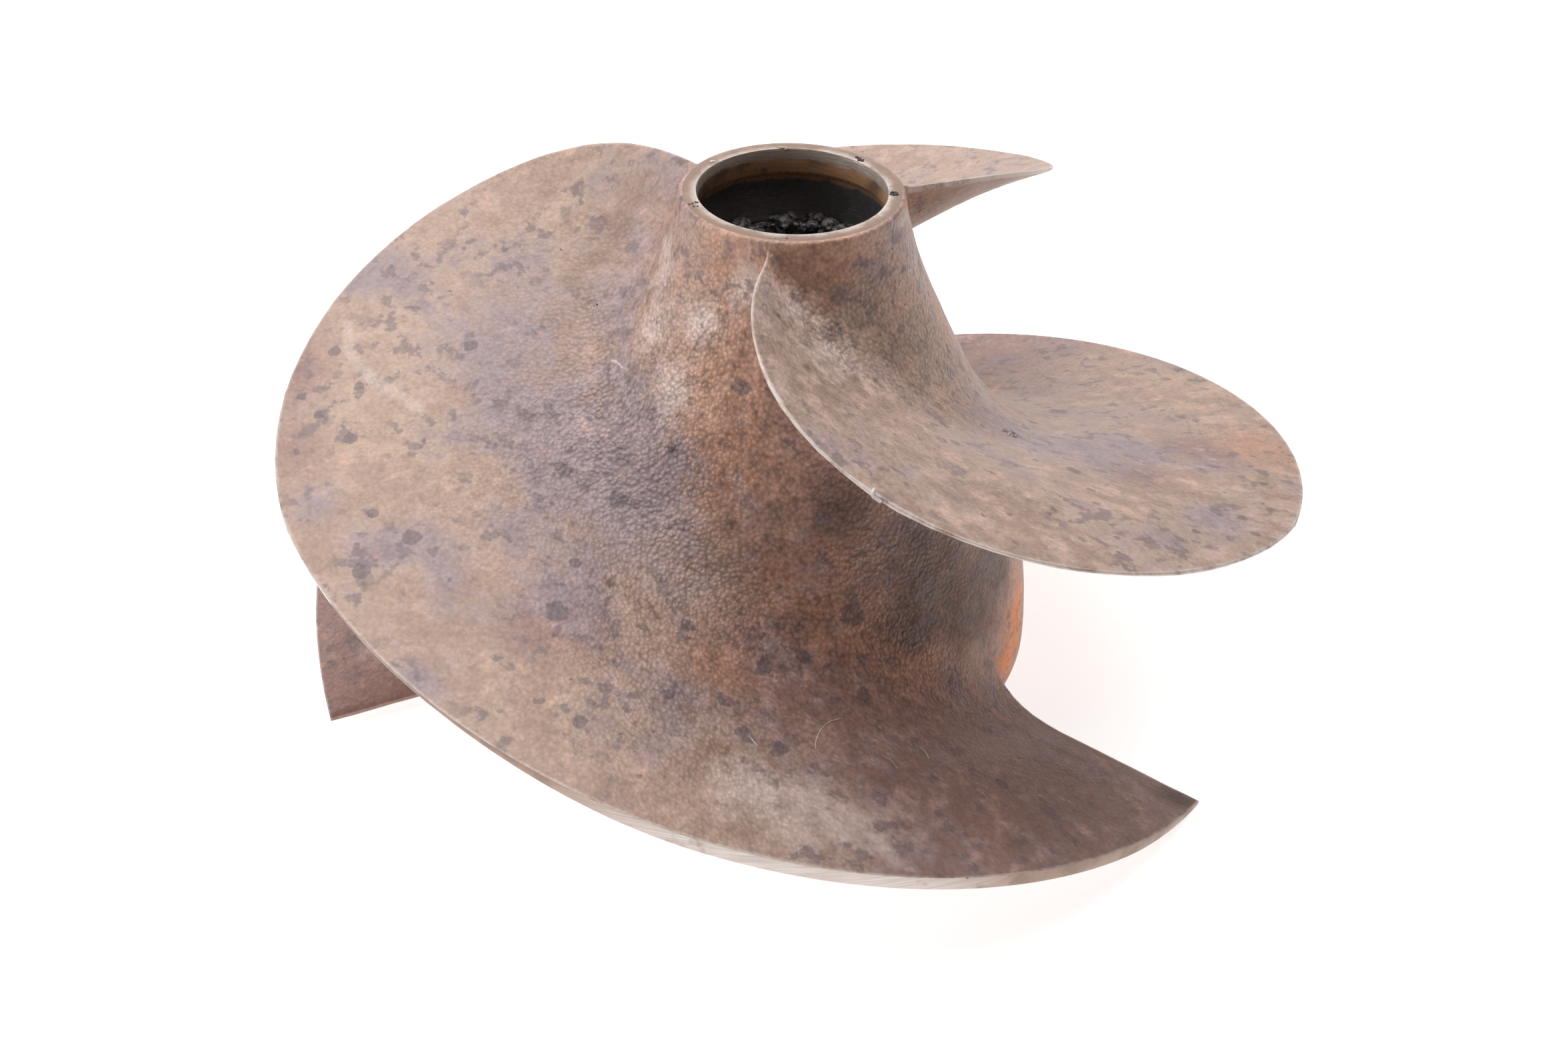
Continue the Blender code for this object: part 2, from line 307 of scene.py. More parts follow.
@dataclass
class HubForm:
    """Bell-shaped hub with its nose bore and rear hollow."""

    tip_radius: float = 77.5 * MM
    height: float = 78.3 * MM
    curve: tuple = ((0.2061, 1.0103), (0.2664, 0.6828), (0.5171, 0.5264), (0.5390, 0.0))
    turns: int = 288
    rim_bore: float = 13.5 * MM
    rim_flat: float = 15.0 * MM
    register_depth: float = 3.7 * MM
    relief: float = 14.6 * MM
    ledge_depth: float = 11.4 * MM
    socket_bottom: float = 38.0 * MM
    shaft: float = 9.5 * MM
    rear_seat: float = 36.5 * MM
    rear_seat_depth: float = 9.0 * MM
    wall: float = 5.5 * MM
    hollow_top: float = 45.0 * MM
    boss: float = 18.0 * MM
    boss_rear: float = 6.0 * MM
    # small edges: steps across and along, or one size for both
    rim_break: float = 0.25 * MM
    rim_round: tuple = (0.5 * MM, 0.06 * MM)
    edge_round: tuple = (0.12 * MM, 0.16 * MM)
    rear_edge: tuple = ((0.0, 0.6 * MM), (0.2 * MM, 0.15 * MM), (0.5 * MM, 0.0))
    seat_break: float = 0.3 * MM
    seat_step: float = 0.1 * MM
    boss_edge: tuple = ((0.0, 0.7 * MM), (0.2 * MM, 0.2 * MM), (0.7 * MM, 0.0))
    shaft_break: float = 0.5 * MM
    relief_break: tuple = (0.3 * MM, 0.4 * MM)
    relief_run: float = 1.0 * MM
    register_break: tuple = (0.1 * MM, 0.2 * MM)
    mouth_edge: tuple = ((0.0, 0.3 * MM), (0.08 * MM, 0.08 * MM))
    web_corner: float = 4.0 * MM
    # where the section has its points
    nose_steps: tuple = (0.4 * MM, 0.8 * MM, 1.4 * MM, 2.2 * MM)
    bell: tuple = (3.4 * MM, 1.2 * MM)
    bell_steps: int = 58
    hollow_steps: int = 14

    def __post_init__(self) -> None:
        """Works out the outer line once."""
        self.line = cubic(self.curve, np.linspace(0, 1, CURVE_STEPS)) * self.tip_radius

    def radius(self, z: Any) -> Any:
        """Outer radius at a height."""
        return np.interp(z, self.line[::-1, 1], self.line[::-1, 0])

    def flare(self, z: Any) -> Any:
        """How much the hub widens for each metre downwards."""
        return (self.radius(z - MM) - self.radius(z + MM)) / (2 * MM)

    def outline(self) -> list[tuple[float, float]]:
        """Closed section at +X, down the outside and back up through the bore."""
        return self.outside() + self.rear() + self.web() + self.inside()

    def outside(self) -> list[tuple[float, float]]:
        """Rim and bell, down to the rear edge."""
        top = self.height
        edge = self.tip_radius * self.curve[0][0]
        line = [(self.rim_bore + self.rim_break, top), (self.rim_flat, top)]
        line += [(self.rim_flat + self.rim_round[0], top - self.rim_round[1])]
        line += [(edge - self.edge_round[0], top - self.edge_round[1])]
        for z in top - np.array(self.nose_steps):
            line.append((float(self.radius(z)), float(z)))
        for z in np.linspace(top - self.bell[0], self.bell[1], self.bell_steps):
            line.append((float(self.radius(z)), float(z)))
        rear = float(self.radius(0.0))
        return line + [(rear - inwards, up) for inwards, up in self.rear_edge]

    def rear(self) -> list[tuple[float, float]]:
        """Rear seat and the wall of the hollow above it."""
        seat, deep = self.rear_seat, self.rear_seat_depth
        line = [(seat + self.seat_break, 0.0), (seat, self.seat_break), (seat, deep - self.seat_step)]
        inner = np.linspace(deep, self.hollow_top - self.web_corner, self.hollow_steps)
        return line + [(float(self.radius(z)) - self.wall, float(z)) for z in inner]

    def web(self) -> list[tuple[float, float]]:
        """Rounded top of the rear hollow, from its outer wall to the boss."""
        corner, top = self.web_corner, self.hollow_top
        wall = float(self.radius(top - corner)) - self.wall
        out = []
        for turn in np.linspace(0.15, 1.0, 6) * math.pi / 2:
            out.append((wall - corner + corner * math.cos(turn), top - corner + corner * math.sin(turn)))
        for turn in np.linspace(0.0, 0.85, 6) * math.pi / 2:
            out.append((self.boss + corner - corner * math.sin(turn), top - corner + corner * math.cos(turn)))
        return out

    def inside(self) -> list[tuple[float, float]]:
        """Boss, shaft bore and nose socket, up to the rim."""
        rear, top, bore = self.boss_rear, self.height, self.rim_bore
        line = [(self.boss, self.hollow_top - self.web_corner)]
        line += [(self.boss - inwards, rear + up) for inwards, up in self.boss_edge]
        line += [(self.shaft + self.shaft_break, rear), (self.shaft, rear + self.shaft_break)]
        ledge, register = top - self.ledge_depth, top - self.register_depth
        line += [(self.shaft, self.socket_bottom), (bore, self.socket_bottom), (bore, ledge)]
        line += [(self.relief - self.relief_break[0], ledge), (self.relief, ledge + self.relief_break[1])]
        line += [(self.relief, register - self.relief_run), (bore + self.register_break[0], register)]
        line += [(bore, register + self.register_break[1])]
        return line + [(bore + outwards, top - down) for outwards, down in self.mouth_edge]

    def mesh(self, name: str) -> Any:
        """The hub as one closed turned skin."""
        return turned_mesh(name, np.array(self.outline()), self.turns)


@dataclass
class FallRule:
    """Height of a blade's upper face: level along each radius, falling with the angle."""

    tip_radius: float = 77.5 * MM
    terms: tuple = (1.00357, -0.44066, 0.21057, -0.09920, 0.02086, -0.00190)
    droop: float = 1.4 * MM
    droop_angle: float = 0.05

    def height(self, angle: Any) -> Any:
        """Height at an angle behind the leading edge's root."""
        angle = np.maximum(0.0, angle)
        pitch = sum(term * angle**power for power, term in enumerate(self.terms))
        return self.tip_radius * pitch - self.droop * np.exp(-angle / self.droop_angle)

    def slope(self, angle: Any) -> Any:
        """Fall per radian, apart from the droop of the edge."""
        angle = np.maximum(0.0, angle)
        parts = [power * term * angle ** (power - 1) for power, term in enumerate(self.terms) if power]
        return -self.tip_radius * sum(parts)

    def tree(self) -> Any:
        """Geometry Nodes that lift a flat blade to this rule and set copies round the axis."""
        takes: dict = {"Geometry": (GEOMETRY, None), "Tip Radius": (FLOAT, self.tip_radius)}
        takes |= {f"Fall {n}": (FLOAT, term) for n, term in enumerate(self.terms)}
        takes |= {"Droop": (FLOAT, self.droop), "Droop Angle": (FLOAT, self.droop_angle)}
        takes |= {"First Angle": (FLOAT, 0.0), "Count": (WHOLE, 3), "Material": (MATERIAL, None)}
        g, start, end = new_group("helical_blades", "GeometryNodeTree", takes, {"Geometry": GEOMETRY})
        named = g.add("GeometryNodeInputNamedAttribute", {"Name": "angle"}, data_type="FLOAT")
        angle = g.math("MAXIMUM", named.outputs["Attribute"], 0.0)
        height: Any = start.outputs[f"Fall {len(self.terms) - 1}"]
        for n in range(len(self.terms) - 2, -1, -1):
            height = g.times_plus(height, angle, start.outputs[f"Fall {n}"])
        height = g.times(height, start.outputs["Tip Radius"])
        back = g.times(start.outputs["Droop Angle"], -1.0)
        decay = g.math("EXPONENT", g.over(angle, back))
        height = g.minus(height, g.times(decay, start.outputs["Droop"]))
        lift = g.add("ShaderNodeCombineXYZ", {"Z": height})
        blade = g.add("GeometryNodeSetPosition", {"Geometry": start.outputs["Geometry"], "Offset": lift})
        points = g.add("GeometryNodePoints", {"Count": start.outputs["Count"]})
        step = g.over(FULL_TURN, start.outputs["Count"])
        turn = g.times_plus(g.add("GeometryNodeInputIndex"), step, start.outputs["First Angle"])
        spin = g.add("ShaderNodeCombineXYZ", {"Z": turn})
        inputs = {"Points": points, "Instance": blade, "Rotation": spin}
        copies = g.add("GeometryNodeInstanceOnPoints", inputs)
        return close_tree(g, start, end, copies)


@dataclass
class BladeForm:
    """One blade laid flat: its upper and lower skins as heights off the fall rule."""

    hub: HubForm
    rule: FallRule
    wrap: float = math.radians(185.6)
    edge: tuple = ((0.2330, 0.0005), (0.9678, -0.0420), (0.7813, 1.0683), (-0.0670, 1.0089))
    root_thick: float = 5.0 * MM
    tip_thick: float = 2.3 * MM
    front_thick: float = 0.6 * MM
    rear_thick: float = 1.1 * MM
    front_taper: float = 40.0 * MM
    rear_taper: float = 22.0 * MM
    front_round: float = 0.4 * MM
    rear_round: float = 0.25 * MM
    land_round: float = 0.12 * MM
    fillet: float = 12.0 * MM
    under_fillet_share: float = 0.55
    least_fillet_share: float = 0.25
    nose_room: float = 1.2
    nose_keep: float = 1.0 * MM
    rim_keep: float = 0.6 * MM
    least_under_fillet: float = 0.1 * MM
    floor_keep: float = 0.4 * MM
    lowest_root: float = 0.6 * MM
    lowest_skin: float = 0.35 * MM
    least_rear: float = 0.2 * MM
    thin_power: float = 0.8
    sink: float = 2.5 * MM
    skin_sink: float = 0.05 * MM
    clear: float = 15.2 * MM
    land_start: float = 0.9995
    land_steps: tuple = (0.1 * MM, 0.03 * MM, 0.0)
    rows: int = 150
    spans: int = 34
    span_power: float = 1.5
    fillet_steps: int = 9

    def __post_init__(self) -> None:
        """Works out the leading edge once."""
        self.tip = self.hub.tip_radius
        self.edge_line = cubic(self.edge, np.linspace(0, 1, CURVE_STEPS)) * self.tip
        radii = np.hypot(self.edge_line[:, 0], self.edge_line[:, 1])
        self.edge_radii = np.minimum(radii, self.tip)
        self.edge_angles = np.arctan2(self.edge_line[:, 1], self.edge_line[:, 0])

    def reach(self, height: Any) -> Any:
        """Reach of the root fillet, less where the nose rim is near."""
        room = (self.hub.height - self.nose_keep - height) / (self.nose_room * self.fillet)
        return self.fillet * np.clip(room, self.least_fillet_share, 1.0)

    def corner(self, height: Any, side: int) -> tuple[Any, Any]:
        """Contact height on the hub and radius of the corner under the fillet.

        Args:
            height: Height of the blade's face at the hub.
            side: 1 for the upper face, -1 for the lower.

        Returns:
            The contact height and the corner's radius.
        """
        reach = self.reach(height)
        if side > 0:
            reach = np.minimum(reach, self.hub.height - self.rim_keep - height)
        else:
            room = np.maximum(self.least_under_fillet, height - self.floor_keep)
            reach = np.minimum(self.under_fillet_share * reach, room)
        contact = height + side * reach
        return contact, self.hub.radius(contact) + side * reach * self.hub.flare(contact)

    def inner(self, angle: Any) -> Any:
        """Radius at which the upper fillet has run out."""
        top = self.rule.height(angle)
        return self.corner(top, 1)[1] + self.reach(top)

    def start(self, span: float) -> float:
        """Angle of the leading edge at a share of the way from the fillet to the tip."""
        inner = self.inner(self.edge_angles)
        spans = (self.edge_radii - inner) / (self.tip - inner)
        last = int(np.argmax(self.edge_radii >= self.land_start * self.tip)) + 1
        return float(np.interp(span, spans[:last], self.edge_angles[:last]))

    def front_distance(self, radius: np.ndarray, angle: np.ndarray) -> np.ndarray:
        """Distance in plan from the leading edge, measured to every second piece of its line."""
        x, y = radius * np.cos(angle), radius * np.sin(angle)
        a, b = self.edge_line[:-1], self.edge_line[1:]
        ab = b - a
        length = (ab**2).sum(1)
        best = np.full(x.shape, np.inf)
        for k in range(0, len(a), 2):
            t = np.clip(((x - a[k, 0]) * ab[k, 0] + (y - a[k, 1]) * ab[k, 1]) / length[k], 0, 2)
            best = np.minimum(best, np.hypot(x - a[k, 0] - t * ab[k, 0], y - a[k, 1] - t * ab[k, 1]))
        return best

    def thickness(self, radius: np.ndarray, angle: np.ndarray) -> np.ndarray:
        """Thickness along the axis, with both edges and the land's corners rounded.

        Args:
            radius: Distances from the axis.
            angle: Angles behind the leading edge's root.

        Returns:
            One thickness for each place.
        """
        top = self.rule.height(angle)
        hub = self.hub.radius(top)
        share = np.clip((radius - hub) / (self.tip - hub), 0.0, 1.0)
        full = self.root_thick + (self.tip_thick - self.root_thick) * share**self.thin_power
        front = self.front_distance(radius, angle)
        rear = np.maximum(radius * (self.wrap - angle), 0.0)
        normal = self.front_thick + (full - self.front_thick) * ease(front / self.front_taper)
        normal = self.rear_thick + (normal - self.rear_thick) * ease(rear / self.rear_taper)
        bend = 1.0 - np.clip(front / self.front_round, 0.0, 1.0)
        normal = normal * np.sqrt(np.maximum(0.0, 1.0 - bend**2))
        for gap, size in ((rear, self.rear_round), (self.tip - radius, self.land_round)):
            bend = 1.0 - np.clip(gap / size, 0.0, 1.0)
            normal = normal - 2 * size * (1.0 - np.sqrt(np.maximum(0.0, 1.0 - bend**2)))
        return np.maximum(normal, 0.0) * np.hypot(1.0, self.rule.slope(angle) / radius)

    def full_thickness(self, radius: np.ndarray, angle: np.ndarray) -> np.ndarray:
        """Thickness along the axis as if no edge were rounded, which places the middle of an edge."""
        front, rear, land = self.front_round, self.rear_round, self.land_round
        self.front_round = self.rear_round = self.land_round = 1e-9
        value = self.thickness(radius, angle)
        self.front_round, self.rear_round, self.land_round = front, rear, land
        return value

    def shares(self) -> np.ndarray:
        """Places of the rows along the blade, close together at both edges."""
        x = np.linspace(0.0, 1.0, self.rows)
        return 0.5 * x + 0.5 * x**3 * (x * (6 * x - 15) + 10) - 0.5 * x * (1 - x) ** 12

    def skins(self) -> tuple[np.ndarray, np.ndarray]:
        """Upper and lower skins.

        Returns:
            Two arrays, rows by columns by (radius, angle, height).
        """
        share = self.shares()
        upper, lower = self.fillets(share)
        spans = 1.0 - (1.0 - np.linspace(0.0, 1.0, self.spans)) ** self.span_power
        rim = (self.tip - np.array(self.land_steps)) / self.tip
        for n, span in enumerate(list(spans[:-1]) + [None] * 3):
            start = self.start(1.0 if span is None else span)
            angle = start + share * (self.wrap - start)
            inner = self.inner(angle)
            if span is None:
                r = np.full_like(angle, self.tip * rim[n - len(spans) + 1])
            else:
                r = np.minimum(inner + span * (self.tip - inner), self.tip - self.land_round)
            face = self.rule.height(angle)
            full, real = self.full_thickness(r, angle), self.thickness(r, angle)
            upper.append(np.stack([r, angle, face - (full - real) / 2], -1))
            lower.append(np.stack([r, angle, face - (full + real) / 2], -1))
        high, low = np.stack(upper, 1), np.stack(lower, 1)
        low[..., 2] = np.maximum(low[..., 2], self.lowest_skin)
        high[..., 2] = np.maximum(high[..., 2], low[..., 2] + self.least_rear * (share > 0.5)[:, None])
        return high, low

    def fillets(self, share: np.ndarray) -> tuple[list, list]:
        """Columns of both root fillets, the first one sunk in the hub's wall."""
        start = self.start(0.0)
        angle = start + share * (self.wrap - start)
        outer = self.inner(angle)
        full, real = self.full_thickness(outer, angle), self.thickness(outer, angle)
        sides = []
        for side in (1, -1):
            face = self.rule.height(angle) - (full - side * real) / 2
            if side < 0:
                face = np.maximum(face, self.lowest_root)
            contact, corner = self.corner(face, side)
            begin = self.hub.radius(contact) - self.skin_sink
            sunk = np.maximum(begin - self.sink, self.clear)
            columns = [np.stack([sunk, angle, contact], -1)]
            for t in np.arange(self.fillet_steps) / self.fillet_steps:
                r = (1 - t) ** 2 * begin + 2 * t * (1 - t) * corner + t * t * outer
                z = (1 - t) ** 2 * contact + (1 - (1 - t) ** 2) * face
                columns.append(np.stack([r, angle, z], -1))
            sides.append(columns)
        return sides[0], sides[1]

    def mesh(self, name: str) -> Any:
        """The blade as one closed skin, flat: its heights are off the fall rule."""
        high, low = self.skins()
        rows, columns = high.shape[:2]
        both = np.concatenate([high.reshape(-1, 3), low.reshape(-1, 3)])
        r, angle, z = both.T
        flat = np.stack([r * np.cos(angle), r * np.sin(angle), z - self.rule.height(angle)], -1)
        top = np.arange(rows * columns).reshape(rows, columns)
        under = top + rows * columns
        faces = [np.stack([top[:-1, :-1], top[:-1, 1:], top[1:, 1:], top[1:, :-1]], -1)]
        faces += [np.stack([under[:-1, :-1], under[1:, :-1], under[1:, 1:], under[:-1, 1:]], -1)]
        loops = ((top[:, 0], under[:, 0], False), (top[:, -1], under[:, -1], True))
        loops += ((top[0, :], under[0, :], True), (top[-1, :], under[-1, :], False))
        for a, b, flip in loops:
            ring = np.stack([a[:-1], a[1:], b[1:], b[:-1]], -1)
            faces.append(ring[:, ::-1] if flip else ring)
        mesh = grid_mesh(name, flat, np.concatenate([f.reshape(-1, 4) for f in faces]))
        write_points(mesh, "angle", angle)
        return mesh


def weld(mesh: Any, distance: float) -> None:
    """Merges close points and turns all faces outwards."""
    work = bmesh.new()
    work.from_mesh(mesh)
    bmesh.ops.remove_doubles(work, verts=work.verts, dist=distance)
    bmesh.ops.dissolve_degenerate(work, edges=work.edges, dist=NO_LENGTH)
    bmesh.ops.recalc_face_normals(work, faces=work.faces)
    work.to_mesh(mesh)
    work.free()


class Skin(Enum):
    """Which finish a face of the casting has, by its place in the object's slots."""

    CAST = 0
    MACHINED = 1
    BORE = 2


class Tone(Enum):
    """Tones of the patina with painted shade, light and glow among them, and how coarse the skin under it is.
    """

    PURPLE = "purple"
    TAN = "tan"
    BROWN = "brown"
    WARM = "warm"
    DARK = "dark"
    PALE = "pale"
    RUST_AND_GLOW = "rust"
    COARSE = "coarse"


@dataclass
class PatinaMap:
    """Where the casting's tones and wear lie, with painted shade, light and glow among them.

    A zone is (x, y, z, reach) in millimetres and fades softly outwards.
    """

    hub: HubForm
    blade: BladeForm
    roots: tuple
    skin_reach: float = 3.5 * MM
    edge_reach: float = 1.8
    no_edge: float = 1.0
    root_band: float = 10.0 * MM
    worn_edge: float = 0.55 * MM
    worn_land: float = 0.35 * MM
    worn_land_run: float = 0.3 * MM
    brown_start: float = 2.1
    brown_run: float = 0.7
    rim_start: float = 0.3 * MM
    rim_run: float = 0.6 * MM
    nose_band: float = 6.0 * MM
    clean_land: float = math.radians(-88)
    clean_half: float = math.radians(16)
    front_land: float = math.radians(-80)
    clean_nose: float = math.radians(-60)

    def zones(self) -> dict:
        """The broad zones of each tone: patina on the old casting, with painted shade, light and glow among
        them.
        """
        first_bloom = [(-30, -17, 50, 14), (-22, -28, 44, 11), (-43, -8, 56, 12), (-24, 7, 66, 11)]
        first_bloom += [(-52, -40, 47, 6), (-43, -48, 43, 7), (-62, -38, 49, 4), (-28, -45, 40, 6)]
        first_bloom += [(-43, -61, 41, 4), (-12, -55, 33, 6), (-63, 4, 61, 5)]
        second_bloom = [(32, -17, 49, 8), (51, -16, 45, 8), (22, -49, 62, 4), (57, -38, 50, 5)]
        hub_bloom = [(20, -24, 40, 6), (-9, -36, 39, 5)]
        first_tan = [(-58, -12, 55, 11), (-62, -23, 53, 8), (-50, -33, 48, 5), (-49, -47, 45, 4)]
        first_tan += [(-21, -45, 37, 5), (-32, -57, 39, 8), (-31, 11, 66, 8), (-55, -38, 48, 4)]
        second_tan = [(13, -28, 62, 8), (32, -48, 58, 10), (72, 20, 34, 12), (20, -12, 60, 6)]
        second_tan += [(10, -20, 69, 4)]
        first_brown = [(24, -45, 16, 20), (44, -48, 9, 18), (0, -44, 28, 11), (27, -65, 18, 12)]
        first_brown += [(-27, -48, 40, 6), (-70, -14, 56, 6), (-67, -28, 52, 5), (-32, -52, 39, 6)]
        # brown patina; the zone at the third blade's low tail is painted shade under the first blade
        other_brown_and_shade = [(-70, -26, 4, 12), (6, -28, 45, 12), (50, -25, 48, 5), (62, -10, 43, 6)]
        # warm orange-brown patina; the zones low on the hub's right are a painted orange glow of light
        # bounced between the blades
        hub_warm_and_glow = [(-7, -16, 73, 5), (4, -16, 74, 5), (-6, -22, 59, 7), (-8, -26, 50, 7), (3, -34, 37, 6)]
        hub_warm_and_glow += [(10, -37, 30, 6), (-8, -49, 32, 6), (37, -17, 8, 7), (36, -16, 16, 6), (3, -16, 76, 3)]
        hub_warm_and_glow += [(28, -27, 22, 7), (20, -33, 24, 6), (9, -34, 32, 3)]
        second_warm = [(72, -5, 42, 5), (73, -11, 43, 7)]
        # painted shade on the hub under the second blade, where that blade's shadow falls
        hub_painted_shade = [(22, -27, 34, 10), (9, -30, 45, 6), (17, -31, 24, 6), (27, -25, 22, 8), (32, -18, 26, 7)]
        first_pale = [(-3, -68, 30, 5), (5, -69, 26, 6), (13, -70, 23, 4.5)]
        # painted light: paler on the hub's lit left side and at the second blade's root, where light falls
        hub_painted_light = [(-18, -4, 69, 4), (-19, -10, 62, 4), (-16, -18, 56, 3.5), (-12, -16, 66, 3)]
        hub_painted_light += [(1, -21, 72, 3.5), (-6, -17, 72, 3), (7, -25, 69, 5)]
        return {
            Tone.PURPLE: first_bloom + second_bloom + hub_bloom,
            Tone.TAN: first_tan + second_tan,
            Tone.BROWN: first_brown + other_brown_and_shade,
            Tone.WARM: hub_warm_and_glow + second_warm,
            # the painted shade also takes one small zone low at the first blade's trailing tip
            Tone.DARK: hub_painted_shade + [(60, -45, 4, 4)],
            Tone.PALE: first_pale + hub_painted_light,
            # a small rust spot on the first blade, and a painted orange glow low on the hub's right
            Tone.RUST_AND_GLOW: [(38, -17, 7, 6.5), (38, -13, 13, 4), (-6.4, -44, 31.8, 0.8)],
            Tone.COARSE: [(-26, -22, 48, 16), (-8, -47, 33, 22), (-4, -24, 55, 20), (12, -40, 28, 12)],
        }

    def cover(self, points: np.ndarray, tone: Tone) -> np.ndarray:
        """How far each point lies in the zones of a tone, from 0 to 1."""
        bare = np.ones(len(points))
        for x, y, z, reach in self.zones()[tone]:
            gap = ((points / MM - np.array([x, y, z])) ** 2).sum(1) / reach**2
            bare *= 1.0 - np.exp(-gap)
        return 1.0 - bare

    def along_blades(self, points: np.ndarray) -> tuple[np.ndarray, np.ndarray]:
        """Where points lie on the blades.

        Args:
            points: One row (x, y, z) each.

        Returns:
            The angle behind the leading edge's root, and the distance in plan from the leading edge.
        """
        radius, turn = np.hypot(points[:, 0], points[:, 1]), np.arctan2(points[:, 1], points[:, 0])
        behind, gap = np.zeros(len(points)), np.full(len(points), self.no_edge)
        for root in self.roots:
            angle = (turn - root + math.pi / 2) % FULL_TURN - math.pi / 2
            near = np.abs(self.blade.rule.height(angle) - points[:, 2]) < self.skin_reach
            near &= radius > self.blade.hub.rim_flat
            behind[near] = np.maximum(behind[near], angle[near])
            near &= angle < self.edge_reach
            gap[near] = np.minimum(gap[near], self.blade.front_distance(radius[near], angle[near]))
        return behind, gap

    def paint(self, mesh: Any) -> None:
        """Writes the zones, wear, coarseness and soil on the mesh's points, as weights from 0 to 1."""
        points = points_of(mesh)
        radius, z = np.hypot(points[:, 0], points[:, 1]), points[:, 2]
        behind, gap = self.along_blades(points)
        by_hub = ease(1.0 - (radius - self.hub.radius(z)) / self.root_band)
        tone = {tone: self.cover(points, tone) for tone in Tone}
        # warm also carries the painted orange glow low on the hub's right
        warm = 0.42 * by_hub + 0.8 * tone[Tone.WARM] - 0.3 * tone[Tone.TAN]
        purple = 0.16 + 0.7 * tone[Tone.PURPLE] - 0.4 * tone[Tone.TAN] - 0.2 * tone[Tone.WARM]
        # browner towards each blade's low trailing part: brown patina, and partly painted shade where the
        # blade above overhangs
        brown = 0.2 + 0.5 * ease((behind - self.brown_start) / self.brown_run)
        brown += 0.8 * tone[Tone.BROWN] - 0.3 * tone[Tone.TAN]
        # third channel: painted shade; fourth: a pale bare patch and painted light
        zones = np.stack([purple, warm, 0.95 * tone[Tone.DARK], 0.95 * tone[Tone.PALE]], -1)
        data = mesh.attributes.new("patina", "FLOAT_COLOR", "POINT").data
        data.foreach_set("color", zones.clip(0, 1).astype(np.float32).ravel())
        wear = 0.8 * ease(1.0 - gap / self.worn_edge)
        inside = self.hub.tip_radius - radius
        wear_land = 0.6 * ease((self.worn_land - inside) / self.worn_land_run)
        masks = {"brown": brown, "rust": tone[Tone.RUST_AND_GLOW], "wear": np.maximum(wear, wear_land)}
        masks |= {"coarse": 0.12 + 0.35 * by_hub + 0.8 * tone[Tone.COARSE], "soil": self.soil(points)}
        for name, values in masks.items():
            write_points(mesh, name, values.clip(0, 1))

    def soil(self, points: np.ndarray) -> np.ndarray:
        """How soiled the bare turned faces are at each point: the front of the land least."""
        turn, z = np.arctan2(points[:, 1], points[:, 0]), points[:, 2]
        front = np.abs(turn - self.clean_land) / self.clean_half
        land = 0.22 + 0.6 * ease(front - 0.6) * (np.abs(turn - self.front_land) < 1.0)
        past_bore = np.hypot(points[:, 0], points[:, 1]) - self.hub.rim_bore
        outer = ease((past_bore - self.rim_start) / self.rim_run)
        nose = 0.25 + 0.6 * outer + 0.15 * (0.5 - 0.5 * np.cos(turn - self.clean_nose))
        return np.where(z > self.hub.height - self.nose_band, nose, land)


